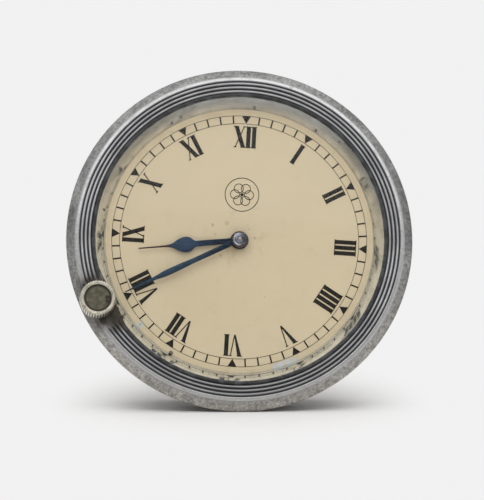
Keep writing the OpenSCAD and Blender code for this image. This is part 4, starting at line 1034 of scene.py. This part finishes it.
@dataclass
class Bezel:
    """Round bezel with three ridges, a polished shoulder, a matt flank and a boss round the stem.

    Attributes:
        rim_r: Outer radius.
        rim_h: Height of the upright outer edge.
        face_z: Height of the ridges.
        lip_r: Inner radius.
        lip_z: Height of the lip over the glass.
        first_ridge_r: Radius of the inner ridge.
        ridge_pitch: Distance between ridges.
        ridge_count: Number of ridges.
        groove: Depth of the grooves.
        shoulder_start_r: Inner radius of the polished shoulder.
        shoulder_end_r: Outer radius of the shoulder.
        pocket_r: Radius of the pocket for glass and ring.
        seat_z: Height of the seat that holds the glass.
        channel_r: Inner and outer radius of the channel under the face.
        channel_z: Height of the channel's top.
        flange_z: Height of the case's flange.
        flange_r: Radius of the room for the flange.
        edge_r: Inner radius of the edge that is rolled over the flange.
        edge_t: Thickness of that edge.
        boss_z: Height of the boss round the stem.
        boss_core: Distance from the stem within which the boss is full.
        boss_end: Distance from the stem where it ends.
        boss_tail_at: Clock angle of the tail that the boss runs out into.
        steps: Steps in the full turn.
    """

    palette: Palette
    rim_r: float = 40.0
    rim_h: float = 0.65
    face_z: float = 3.2
    lip_r: float = 33.3
    lip_z: float = 2.98
    first_ridge_r: float = 34.67
    ridge_pitch: float = 0.905
    ridge_count: int = 3
    groove: float = 0.38
    shoulder_start_r: float = 37.2
    shoulder_end_r: float = 38.1
    pocket_r: float = 34.3
    seat_z: float = 2.77
    channel_r: tuple[float, float] = (35.1, 37.6)
    channel_z: float = 2.2
    flange_z: float = 1.0
    flange_r: float = 39.15
    edge_r: float = 38.55
    edge_t: float = 0.2
    boss_z: float = 3.6
    boss_core: float = 4.2
    boss_end: float = 5.9
    boss_tail_at: float = 239.6
    steps: int = 480

    def ridges(self) -> Section:
        """Return the ridged part of the profile, from the outer groove to the inner one."""
        points = []
        for i in reversed(range(self.ridge_count)):
            for k in range(13):
                turn = math.pi * (1 - k / 6)
                wave = (0.5 + 0.5 * math.cos(turn)) ** 0.8
                radius = self.first_ridge_r + i * self.ridge_pitch + turn / math.tau * self.ridge_pitch
                points.append((radius, self.face_z - self.groove * (1 - wave)))
        return points

    def flank(self) -> Section:
        """Return the sloping flank, from the rim up to the shoulder."""
        foot_r, foot_z = self.rim_r - 0.04, self.rim_h + 0.06
        top_z = self.face_z - 1.0
        points = []
        for t in (k / 10 for k in range(11)):
            inward = (1 - (1 - t) ** 1.35) ** 0.9
            points.append((foot_r - (foot_r - self.shoulder_end_r) * inward,
                           foot_z + (top_z - foot_z) * t ** 0.8))
        return points

    def profile(self) -> Section:
        """Return the bezel's whole section."""
        start, end, lip_r, lip_z = self.shoulder_start_r, self.shoulder_end_r, self.lip_r, self.lip_z
        near, far = self.channel_r
        curve = [
            (end - 0.45 * (1 - math.cos(a)) - 0.02, self.face_z - 0.66 + 0.4 * math.sin(a))
            for a in (math.radians(10 * k) for k in range(9))
        ]
        shoulder = [(start + 0.3, self.face_z - 0.2), (start + 0.1, self.face_z - 0.16),
                    (start - 0.05, self.face_z - 0.22)]
        lip = [
            (self.first_ridge_r - 0.52, lip_z), (34.0, lip_z + 0.02), (33.7, lip_z + 0.015),
            (33.46, lip_z - 0.005), (lip_r + 0.06, lip_z - 0.02), (lip_r + 0.01, lip_z - 0.05),
            (lip_r, lip_z - 0.09), (lip_r + 0.37, self.seat_z), (self.pocket_r, self.seat_z),
            (self.pocket_r, self.flange_z)
        ]
        under = [
            (near, self.flange_z), (near, self.channel_z), (far, self.channel_z), (far, self.flange_z),
            (self.flange_r, self.flange_z), (self.flange_r, self.edge_t), (self.edge_r, self.edge_t),
            (self.edge_r, 0.0)
        ]
        rim = [(self.rim_r - 0.08, 0.0), (self.rim_r, 0.08), (self.rim_r, self.rim_h - 0.05)]
        return [*rim, *self.flank(), *curve, *shoulder, *self.ridges(), *lip, *under]

    def raise_boss(self, sheet: ClockMesh) -> None:
        """Blend the boss round the stem out of the turned face.

        Args:
            sheet: Mesh that holds the turned bezel.
        """
        stem = Vector((*STEM_AT, 0.0))
        outward = stem.normalized()
        run = at_clock(stem.length, self.boss_tail_at) - stem
        for v in sheet.bm.verts:
            flat = Vector((v.co.x, v.co.y, 0.0))
            if v.co.z < self.seat_z + 0.02 and flat.length < self.rim_r - 2.2:
                continue
            along = min(max((flat - stem).dot(run) / run.length_squared, 0.0), 1.0)
            off = (flat - stem - run * along).length
            share = 1 - smooth(self.boss_core, self.boss_end, off)
            fade = 1 - smooth(37.4, 38.4, flat.length)
            top = self.boss_z - 0.05 - 0.36 * smooth(3.4, self.boss_end, off)
            v.co.z += (max(top, v.co.z) - v.co.z) * share * fade
            inner = 1 - smooth(33.6, 34.6, flat.length)
            v.co -= outward * 0.7 * inner * (1 - smooth(4.0, 9.5, (flat - stem).length))

    def build(self) -> None:
        """Build and dress the bezel."""
        sheet = ClockMesh()
        sheet.spin(self.profile(), self.steps)
        self.raise_boss(sheet)
        sheet.finish("bezel_ridged", "bezel", self.palette.bezel, 30.0)


@dataclass
class GlassAndReflector:
    """Domed glass over a polished reflector ring.

    Attributes:
        edge_r: Outer radius of the dome.
        seat_r: Outer radius of the glass's flat edge.
        edge_z: Height of the glass's edge.
        edge_t: Thickness at the edge.
        rise: Rise of the dome.
        thick: Thickness at the centre.
        base_r: Inner radius of the ring at the dial.
        ring_top_r: Inner radius of the ring at the glass.
        ring_out_r: Outer radius of the ring.
        dial_z: Height of the dial.
    """

    palette: Palette
    edge_r: float = 33.25
    seat_r: float = 33.6
    edge_z: float = 2.75
    edge_t: float = 0.13
    rise: float = 3.9
    thick: float = 0.9
    base_r: float = 30.9
    ring_top_r: float = 33.3
    ring_out_r: float = 34.2
    dial_z: float = -0.3

    def dome(self, radius: float, foot: float, rise: float) -> Section:
        """Return the points of a dome from its flat edge to its centre."""
        count = 26
        shares = [1 - i / count for i in range(count + 1)]
        return [(self.seat_r, self.edge_z), *((radius * s, foot + rise * (1 - s ** 2)) for s in shares)]

    def glass(self) -> None:
        """Build the domed glass."""
        sheet = ClockMesh()
        outer = self.dome(self.edge_r, self.edge_z + self.edge_t, self.rise)
        inner = self.dome(self.edge_r - 0.55, self.edge_z, self.rise + self.edge_t - self.thick)
        for side in (outer, inner):
            sheet.spin(side, 192, closed=False)
        sheet.finish("glass_dome", "crystal", self.palette.glass, 20.0)

    def reflector(self) -> None:
        """Build the polished ring."""
        sheet = ClockMesh()
        fold = 0.05
        sheet.spin([
            (self.base_r, self.dial_z), (self.base_r + 0.02, self.dial_z),
            (self.ring_top_r - fold, self.edge_z - fold), (self.ring_top_r, self.edge_z),
            (self.ring_out_r, self.edge_z), (self.ring_out_r, self.dial_z)
        ], 360)
        sheet.finish("reflector_polished", "reflector_ring", self.palette.mirror, 40.0)

    def build(self) -> None:
        """Build both pieces."""
        self.glass()
        self.reflector()


@dataclass
class Hands:
    """Hour and minute hand with their collets, and the domed cap that holds them.

    Attributes:
        hour_at: Clock angle of the hour hand.
        minute_at: Clock angle of the minute hand.
        hour_l: Length of the hour hand.
        minute_l: Length of the minute hand.
        hour_w: Greatest width of the hour hand.
        minute_w: Greatest width of the minute hand.
        hour_z: Height of the hour hand.
        minute_z: Height of the minute hand.
        thick: Thickness of both at the edge.
        crown: Further thickness along the middle.
        cap_r: Radius of the cap.
        hour_marks: Shares of length and half width: a straight stem, a rounded spade and a needle.
        minute_marks: The same: a leaf widest past its middle that runs to a point.
    """

    palette: Palette
    hour_at: float = 261.5
    minute_at: float = 241.4
    hour_l: float = 23.4
    minute_l: float = 29.2
    hour_w: float = 3.64
    minute_w: float = 1.46
    hour_z: float = 0.7
    minute_z: float = 1.5
    thick: float = 0.1
    crown: float = 0.1
    cap_r: float = 1.95
    hour_marks: tuple[tuple[float, float], ...] = (
        (0.0, 0.35), (0.2, 0.36), (0.4, 0.385), (0.432, 0.39), (0.442, 0.45), (0.455, 0.56), (0.47, 0.77),
        (0.492, 0.92), (0.512, 0.985), (0.53, 1.0), (0.556, 0.955), (0.577, 0.885), (0.598, 0.77),
        (0.62, 0.626), (0.641, 0.456), (0.662, 0.302), (0.684, 0.214), (0.726, 0.143), (0.77, 0.115),
        (0.85, 0.1), (1.0, 0.075)
    )
    minute_marks: tuple[tuple[float, float], ...] = (
        (0.0, 0.78), (0.2, 0.8), (0.31, 0.81), (0.4, 0.78), (0.48, 0.9), (0.55, 0.97), (0.62, 1.0),
        (0.66, 0.93), (0.69, 0.79), (0.74, 0.58), (0.83, 0.42), (0.92, 0.3), (1.0, 0.14)
    )

    @staticmethod
    def eased(marks: Sequence[tuple[float, float]], length: float, half: float) -> Section:
        """Join marks of length and width by a smooth curve.

        Args:
            marks: Shares of the length and of the half width.
            length: Length of the hand.
            half: Its greatest half width.

        Returns:
            Stations of distance and half width.
        """
        points = []
        padded = [marks[0], *marks, marks[-1]]
        for before, (xa, wa), (xb, wb), after in zip(padded, padded[1:], padded[2:], padded[3:]):
            slope_a = (wb - before[1]) / (xb - before[0])
            slope_b = (after[1] - wa) / (after[0] - xa)
            span = xb - xa
            for t in (k / 3 for k in range(3)):
                cubic = ((2 * t**3 - 3 * t**2 + 1) * wa + (t**3 - 2 * t**2 + t) * span * slope_a
                         + (3 * t**2 - 2 * t**3) * wb + (t**3 - t**2) * span * slope_b)
                points.append(((xa + t * span) * length, max(cubic, 0.02) * half))
        return [*points, (marks[-1][0] * length, marks[-1][1] * half)]

    def hour_hand(self) -> None:
        """Build the hour hand."""
        low, high, top = self.hour_z - 0.5, self.hour_z - 0.02, self.hour_z + 0.16
        bore_r, pipe_r, collet_r = 1.52, 1.9, 2.1
        sheet = ClockMesh()
        stations = self.eased(self.hour_marks, self.hour_l, self.hour_w / 2)
        sheet.sheet(stations, self.hour_z, self.thick, self.crown)
        sheet.spin([
            (bore_r, low), (pipe_r, low), (pipe_r, high), (collet_r, high), (collet_r, top - 0.04),
            (collet_r - 0.04, top), (bore_r, top)
        ], 64)
        sheet.turn(self.hour_at)
        sheet.finish("hour_hand_spade", "hour_hand", self.palette.blued_spade)

    def minute_hand(self) -> None:
        """Build the minute hand."""
        low, top = self.minute_z - 0.4, self.minute_z + 0.13
        bore_r, pipe_r = 1.02, 1.4
        sheet = ClockMesh()
        stations = self.eased(self.minute_marks, self.minute_l, self.minute_w / 2)
        sheet.sheet(stations, self.minute_z, self.thick, self.crown)
        sheet.spin([(bore_r, low), (pipe_r, low), (pipe_r, top), (bore_r, top)], 64)
        sheet.turn(self.minute_at)
        sheet.finish("minute_hand_leaf", "minute_hand", self.palette.blued)

    def cap(self) -> None:
        """Build the domed cap with its burnished ring and centre pin."""
        rise = [
            (0.0, 0.0), (self.cap_r - 0.05, 0.0), (self.cap_r, 0.05), (self.cap_r, 0.2),
            (self.cap_r - 0.05, 0.3), (self.cap_r - 0.16, 0.4), (self.cap_r - 0.32, 0.49),
            (1.5, 0.54), (1.46, 0.6), (1.38, 0.63), (1.3, 0.6), (1.26, 0.57), (1.05, 0.68), (0.85, 0.75),
            (0.7, 0.78), (0.6, 0.74), (0.5, 0.74), (0.46, 0.9), (0.4, 0.97), (0.25, 1.0), (0.0, 1.0)
        ]
        low = self.minute_z + 0.15
        sheet = ClockMesh()
        sheet.spin([(r, low + z) for r, z in rise], 72, closed=False)
        sheet.finish("hand_cap_domed", "hand_cap", self.palette.cap, 50.0)

    def build(self) -> None:
        """Build both hands and the cap."""
        self.hour_hand()
        self.minute_hand()
        self.cap()


@dataclass
class WindingKnob:
    """Coin-edged knob with a recessed face.

    Attributes:
        radius: Radius at the crests of the coin edge.
        teeth: Number of crests.
        groove: Depth of the coin edge.
        shares: Depth round one crest, as shares of the groove.
        low: Height of its lower face.
        tall: Height of the knob.
        dish_r: Radius of the recessed face.
        dish: Depth of the recess.
    """

    palette: Palette
    radius: float = 4.15
    teeth: int = 40
    groove: float = 0.17
    shares: tuple[float, ...] = (0.0, 0.12, 0.55, 1.0, 0.55, 0.12)
    low: float = 4.0
    tall: float = 4.6
    dish_r: float = 3.1
    dish: float = 0.48

    def build(self) -> None:
        """Build the knob."""
        r, z, top = self.radius, self.low, self.low + self.tall
        floor = top - self.dish
        edge = [
            (1.0, z, 0), (r - 0.45, z, 0), (r - 0.16, z + 0.1, 0.5), (r - 0.03, z + 0.3, 0.95),
            (r, z + 0.42, 1), (r, z + self.tall / 2, 1), (r, top - 0.62, 1), (r - 0.02, top - 0.46, 0.95),
            (r - 0.09, top - 0.27, 0.8), (r - 0.2, top - 0.13, 0.45), (r - 0.36, top - 0.03, 0.1)
        ]
        face = [
            (r - 0.5, top), (r - 0.64, top - 0.03), (r - 0.8, top - 0.12), (self.dish_r + 0.1, top - 0.22),
            (self.dish_r, top - 0.34), (self.dish_r - 0.03, floor + 0.06), (self.dish_r - 0.12, floor),
            (1.6, floor - 0.02), (0.5, floor - 0.03), (0.05, floor - 0.03)
        ]
        depths = [*(depth for _, _, depth in edge), *(0 for _ in face)]

        def coin(ring: int, vertex: int) -> float:
            """Return the change of radius at one vertex of the coin edge."""
            return -self.groove * depths[ring] * self.shares[vertex % len(self.shares)]

        sheet = ClockMesh()
        levels = [*((radius, height) for radius, height, _ in edge), *face]
        sheet.rings(self.teeth * len(self.shares), levels, coin, Vector((*STEM_AT, 0.0)))
        sheet.finish("knob_coin_edged", "winding_knob", self.palette.knob, 40.0)


@dataclass
class RearCase:
    """Case shell behind the panel, its cover, and the studs and nuts that clamp the clock.

    Attributes:
        cup_r: Radius of the wide part.
        cup_z: Depth of its floor.
        corner_r: Radius of its rounded corner.
        step_r: Radius of the bend from the cup to the drum.
        drum_r: Radius of the rear drum.
        drum_z: Depth of the drum.
        sheet_t: Thickness of the sheet.
        flange_r: Radius of the flange under the bezel.
        flange_z: Upper and lower height of the flange.
        post_at_r: Distance of the screw posts from the middle.
        post_r: Radius of a post.
        screw_r: Radius of its hole.
        post_clocks: Clock angles of the posts.
        plate_z: Height of the posts' tops.
        cover_t: Thickness of the cover.
        nut_t: Thickness of the nuts.
        nut_r: Radius of their corners.
        stud_at: Distance of the studs from the middle.
        stud_r: Radius of a stud.
        stud_l: Length of a stud behind its nut.
        pitch: Pitch of the thread.
        thread: Depth of the thread.
        plate_back_z: Height of the back of the movement's plate.
    """

    palette: Palette
    cup_r: float = 38.2
    cup_z: float = -12.9
    corner_r: float = 3.2
    step_r: float = 0.8
    drum_r: float = 30.9
    drum_z: float = -25.5
    sheet_t: float = 0.5
    flange_r: float = 39.1
    flange_z: tuple[float, float] = (1.0, 0.2)
    post_at_r: float = 35.4
    post_r: float = 1.6
    screw_r: float = 0.85
    post_clocks: tuple[float, ...] = (20.0, 140.0, 300.0)
    plate_z: float = -5.0
    cover_t: float = 0.6
    nut_t: float = 1.8
    nut_r: float = 4.0
    stud_at: float = 23.0
    stud_r: float = 2.0
    stud_l: float = 16.0
    pitch: float = 0.7
    thread: float = 0.36
    plate_back_z: float = -16.5

    def shell(self) -> None:
        """Build the drawn shell with its three screw posts."""
        t, step = self.sheet_t, self.step_r
        corner = (self.cup_r - self.corner_r, self.cup_z + self.corner_r)
        bend = (self.drum_r + step, self.cup_z - step)
        upper, lower = self.flange_z
        sheet = ClockMesh()
        sheet.spin([
            (self.cup_r + 0.2, lower), (self.cup_r, 0.0),
            *arc(corner, self.corner_r, 0, -90, 10), *arc(bend, step, 90, 180, 5),
            (self.drum_r, self.drum_z), (self.drum_r - t, self.drum_z),
            *arc(bend, step + t, 180, 90, 5), *arc(corner, self.corner_r - t, -90, 0, 10),
            (self.cup_r - t, upper), (self.flange_r, upper), (self.flange_r, lower)
        ], 288)
        low, top, reach = self.cup_z + t - 0.05, self.plate_z, self.post_r
        for clock in self.post_clocks:
            sheet.spin([
                (0.0, low), (reach - 0.9, low), (reach, low + 1.0), (reach, top - 0.15), (reach - 0.15, top),
                (self.screw_r, top), (self.screw_r, top - 3), (0.0, top - 3)
            ], 32, centre=at_clock(self.post_at_r, clock), closed=False)
        sheet.finish("case_shell_drawn", "case_shell", self.palette.case)

    def cover(self) -> None:
        """Build the push-on back cover with its rolled edge and shallow raised field."""
        back = self.drum_z - self.cover_t
        front = self.drum_z + 4.0
        inner_r = self.drum_r + 0.05
        outer_r = inner_r + self.sheet_t
        bead_r = outer_r - 0.12
        sheet = ClockMesh()
        sheet.spin([
            (0.0, self.drum_z), (inner_r, self.drum_z), (inner_r, front), (inner_r + 0.1, front + 0.04),
            (outer_r - 0.1, front + 0.04), (outer_r, front - 0.1), (outer_r, front - 0.5),
            (bead_r, front - 0.7), (bead_r, front - 1.0), (outer_r, front - 1.2),
            *arc((outer_r - 0.5, back + 0.5), 0.5, 0, -90, 8),
            (28.6, back), (28.2, back + 0.05), (27.9, back + 0.2), (27.5, back + 0.24), (27.1, back + 0.2),
            (26.8, back + 0.05), (26.4, back), (12.0, back), (0.0, back)
        ], 240, closed=False)
        sheet.finish("back_cover_pressed", "back_cover", self.palette.cover)

    def studs(self) -> None:
        """Build the two mounting studs with their threads."""
        nut_back = self.drum_z - self.cover_t - self.nut_t
        end = nut_back - self.stud_l
        root, crest, neck, tip = (self.stud_r - cut for cut in (self.thread, 0.03, 0.1, 0.12))
        core, collar = root + 0.005, self.stud_r + 0.6
        turns = int((self.stud_l - 1.4) / self.pitch)
        wave = [(root, 0.0), (crest, 0.28), (crest, 0.4), (root, 0.68), (root, self.pitch)]
        sheet = ClockMesh()
        for side in (-1, 1):
            middle = Vector((side * self.stud_at, 0.0, 0.0))
            verts, edges = sheet.chain([(middle.x + r, middle.y, end + 0.7 + z) for r, z in wave])
            bmesh.ops.spin(
                sheet.bm, geom=[*verts, *edges], cent=middle, axis=(0, 0, 1),
                dvec=(0, 0, self.pitch / 24), angle=math.tau * turns, steps=24 * turns, use_merge=False,
                use_duplicate=False)
            sheet.spin([
                (0.0, end), (self.stud_r - 0.7, end), (tip, end + 0.6), (tip, end + 0.9), (core, end + 1.1),
                (core, nut_back - 0.3), (neck, nut_back - 0.2), (neck, self.drum_z), (collar, self.drum_z),
                (collar, self.plate_back_z), (0.0, self.plate_back_z)
            ], 40, closed=False, centre=middle)
        sheet.finish("mounting_studs_threaded", "mounting_studs", self.palette.thread, 30.0)

    def nuts(self) -> None:
        """Build the two hexagon nuts with chamfered corners."""
        front = self.drum_z - self.cover_t
        sheet = ClockMesh()
        for side in (-1, 1):
            x = side * self.stud_at
            made = bmesh.ops.create_cone(
                sheet.bm, cap_ends=True, cap_tris=False, segments=6, radius1=self.nut_r, radius2=self.nut_r,
                depth=self.nut_t)["verts"]
            bmesh.ops.translate(sheet.bm, verts=made, vec=(x, 0.0, front - self.nut_t / 2))
            rims = [e for e in edges_of(made) if abs(e.verts[0].co.z - e.verts[1].co.z) < 1e-5]
            bmesh.ops.bevel(
                sheet.bm, geom=rims, offset=0.28, offset_type="OFFSET", segments=3, profile=0.5,
                affect="EDGES", material=-1, clamp_overlap=True)
            back = [f for f in sheet.bm.faces
                    if f.normal.z < -0.99 and abs(f.calc_center_median().x - x) < 0.5 and len(f.verts) == 6]
            for thickness, depth in ((1.15, 0.0), (0.3, -0.25)):
                bmesh.ops.inset_region(
                    sheet.bm, faces=back, thickness=thickness, depth=depth, use_even_offset=True)
        sheet.finish("stud_nuts_hexagon", "stud_nuts", self.palette.steel, 30.0)

    def build(self) -> None:
        """Build the shell, the cover, the studs and the nuts."""
        self.shell()
        self.cover()
        self.studs()
        self.nuts()


@dataclass
class PackedPieces:
    """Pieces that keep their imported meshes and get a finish."""

    palette: Palette

    def groups(self) -> dict[Finish, tuple[str, ...]]:
        """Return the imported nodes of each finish."""
        look = self.palette
        return {
            look.dial: ("dial",),
            look.ink: ("hour_numerals", "minute_track", "dial_motif"),
            look.pewter: ("dial_rest_ring",),
            look.plate: ("front_plate", "back_plate", "pillars", "balance_cock", "escape_cock", "stem_bush"),
            look.wheel: (
                "centre_wheel", "third_wheel", "fourth_wheel", "minute_wheel", "hour_wheel",
                "setting_idler", "mainspring_barrel", "barrel_cover", "balance_wheel"),
            look.steel: (
                "winding_stem", "setting_yoke", "yoke_guide_pin", "case_screws", "barrel_arbor",
                "ratchet_wheel", "transfer_wheel", "centre_arbor", "cannon_pinion", "setting_wheel",
                "third_arbor", "fourth_arbor", "escape_arbor", "escape_wheel", "pallet_fork",
                "pallet_arbor", "balance_staff", "hairspring_stud", "regulator"),
            look.spring: (
                "mainspring", "hairspring", "click_spring", "detent_spring", "click", "pillar_screws",
                "shoulder_screws", "cock_screws"),
            look.ruby: ("jewels",),
        }

    def build(self) -> None:
        """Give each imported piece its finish."""
        for look, names in self.groups().items():
            for name in names:
                for slot in frame["nodes"][name].material_slots:
                    slot.material = look.material()
                LOG.info("%s: packed mesh, finish %s", name, look.name)


@dataclass
class Studio:
    """Pale sheet, soft lamps and the camera.

    Attributes:
        azimuth: Camera's angle to the right of the dial's normal, in degrees.
        elevation: Camera's angle above the dial's normal.
        roll: Turn of the dial in the picture, clockwise.
        above_floor: Camera's angle above the floor.
        distance: Distance from the camera to the clock, in metres.
        lens: Focal length in millimetres.
        aim: Point that the camera looks at, right and up in the picture, in millimetres.
        support_r: Radius of the rim that the clock stands on, in millimetres.
        pale: Colour of the sheet.
        glow: Level of the plain backdrop.
        matt_to: Distance in millimetres up to which the floor is all matt.
        plain_from: Distance past which it is all plain.
        sweep: Section of the sheet: places towards the camera and up, in metres.
        sheet_w: Width of the sheet in metres.
    """

    azimuth: float = -2.1
    elevation: float = -10.75
    roll: float = 3.35
    above_floor: float = 5.0
    distance: float = 2.2
    lens: float = 686.0
    aim: tuple[float, float] = (0.62, -2.1)
    support_r: float = 40.0
    pale: Colour = (0.874, 0.868, 0.86)
    glow: float = 0.885
    matt_to: float = 19.0
    plain_from: float = 47.0
    sweep: tuple[tuple[float, float], ...] = (
        (1.2, 0.0), (0.2, 0.0), (-0.6, 0.0), (-0.9, 0.02), (-1.15, 0.1), (-1.35, 0.3), (-1.42, 0.6),
        (-1.42, 1.6)
    )
    sheet_w: float = 3.2

    def axes(self) -> tuple[Vector, Vector, Vector]:
        """Return the picture's right and up, and the way from the clock to the camera."""
        a, e, r = (math.radians(v) for v in (self.azimuth, self.elevation, self.roll))
        back = Vector((math.sin(a) * math.cos(e), -math.cos(a) * math.cos(e), math.sin(e)))
        twelve = Vector((0, 0, 1)) - back * back.z
        up = Matrix.Rotation(r, 3, back) @ twelve.normalized()
        return up.cross(back).normalized(), up, back

    def floor_axes(self) -> tuple[Vector, Vector, Vector]:
        """Return the way right, up and towards the camera on the floor.

        The floor is tipped so that the camera looks a little down on it.
        """
        right, up, back = self.axes()
        tip = math.radians(self.above_floor)
        floor_up = (up * math.cos(tip) + back * math.sin(tip)).normalized()
        return right, floor_up, (back - floor_up * back.dot(floor_up)).normalized()

    def camera(self) -> None:
        """Place the camera."""
        right, up, back = self.axes()
        data = bpy.data.cameras.new("portrait_camera")
        data.sensor_fit = "VERTICAL"
        data.sensor_height = 36.0
        data.lens = self.lens
        data.clip_start = 0.01
        camera = bpy.data.objects.new("portrait_camera", data)
        target = (right * self.aim[0] + up * self.aim[1]) * MM
        basis = Matrix((right, up, back)).transposed().to_4x4()
        camera.matrix_world = Matrix.Translation(target + back * self.distance) @ basis
        bpy.context.scene.collection.objects.link(camera)
        bpy.context.scene.camera = camera

    def floor_material(self) -> bpy.types.Material:
        """Return the sheet's material: matt near the clock, plain further off, clear from below."""
        tree = Tree("pale_sheet", self.pale, 0.0, 0.9)
        tree.drive("Specular IOR Level", 0.0)
        right, _, toward = self.floor_axes()
        across = tree.along(right)
        depth = tree.along(toward)
        depth = tree.reckon("MAXIMUM", depth * -0.35, depth * 0.6)
        length = tree.reckon("SQRT", across * across + depth * depth)
        path = tree.add("LightPath").outputs
        seen = tree.reckon("MAXIMUM", path["Is Camera Ray"], path["Is Glossy Ray"])
        seen = tree.reckon("MAXIMUM", seen, path["Is Transmission Ray"])
        plain = seen * tree.step(length, self.matt_to, self.plain_from)
        glow = tree.add("Emission", {"Color": grey(self.glow)}).outputs["Emission"]
        floor = tree.blend(plain, tree.surface, glow)
        from_below = tree.add("NewGeometry").outputs["Backfacing"]
        clear = tree.add("BsdfTransparent").outputs["BSDF"]
        tree.show(tree.blend(from_below, floor, clear))
        return tree.material

    def sheet(self) -> None:
        """Lay the pale sheet under the clock and sweep it up behind."""
        _, up, toward = self.floor_axes()
        right = up.cross(toward)
        level = -self.support_r * math.sqrt(1 - up.y ** 2) * MM
        bm = bmesh.new()
        half = right * (self.sheet_w / 2)
        chain = [bm.verts.new(toward * t + up * (level + h) - half) for t, h in self.sweep]
        edges = [bm.edges.new(pair) for pair in zip(chain, chain[1:])]
        made = bmesh.ops.extrude_edge_only(bm, edges=edges)["geom"]
        far_side = [g for g in made if isinstance(g, bmesh.types.BMVert)]
        bmesh.ops.translate(bm, verts=far_side, vec=right * self.sheet_w)
        bm.normal_update()
        inside = up * 0.3
        away = [f for f in bm.faces if f.normal.dot(inside - f.calc_center_median()) < 0]
        bmesh.ops.reverse_faces(bm, faces=away)
        mesh = bpy.data.meshes.new("pale_sheet")
        bm.to_mesh(mesh)
        bm.free()
        mesh.shade_smooth()
        mesh.materials.append(self.floor_material())
        sheet = bpy.data.objects.new("pale_sheet", mesh)
        bpy.context.scene.collection.objects.link(sheet)

    def lamp(self, name: str, where: Sequence[float], size: Sequence[float], power: float) -> None:
        """Hang one soft box, aimed at the clock.

        Args:
            name: Name of the lamp.
            where: Place in metres: right, up and towards the camera.
            size: Width and height in metres.
            power: Power in watts.
        """
        data = bpy.data.lights.new(name, "AREA")
        data.shape = "RECTANGLE"
        data.size, data.size_y = size
        data.energy = power
        lamp = bpy.data.objects.new(name, data)
        right, up, toward = self.floor_axes()
        spot = right * where[0] + up * where[1] + toward * where[2]
        lamp.matrix_world = Matrix.Translation(spot) @ spot.to_track_quat("Z", "Y").to_matrix().to_4x4()
        bpy.context.scene.collection.objects.link(lamp)

    def room(self) -> None:
        """Light the room more from above than from the sides, and show it as plain and pale."""
        world = bpy.data.worlds.new("studio_room")
        world.use_nodes = True
        nodes = Nodes(world.node_tree)
        light, output = (world.node_tree.nodes[name] for name in ("Background", "World Output"))
        way = nodes.add("TexCoord").outputs["Generated"]
        rise = nodes.add("VectorMath", {0: way, 1: self.floor_axes()[1]}, operation="DOT_PRODUCT")
        nodes.feed(light.inputs["Color"], grey(1.0))
        nodes.feed(light.inputs["Strength"], nodes.step(rise.outputs["Value"], 0.0, 0.9, 0.4, 0.75))
        shown = nodes.add("Background", {"Color": grey(self.glow)})
        seen = nodes.add("LightPath").outputs["Is Camera Ray"]
        both = nodes.blend(seen, light.outputs["Background"], shown.outputs["Background"])
        nodes.feed(output.inputs["Surface"], both)
        bpy.context.scene.world = world

    def build(self) -> None:
        """Set up the whole studio."""
        bpy.context.scene.view_settings.view_transform = "Standard"
        self.camera()
        self.sheet()
        self.lamp("overhead_box", (0.0, 1.0, 0.04), (2.0, 1.2), 3.0)
        self.lamp("front_box", (0.05, 0.86, 0.72), (1.5, 0.8), 3.85)
        self.room()


def main() -> None:
    """Build the studio and the clock, in order."""
    logging.basicConfig(level=logging.INFO, format="%(name)s: %(message)s")
    Studio().build()
    palette = Palette()
    PackedPieces(palette).build()
    for part in (Bezel, GlassAndReflector, Hands, WindingKnob, RearCase):
        part(palette).build()
        LOG.info("%s is done", part.__name__)


if __name__ == "__main__":
    main()
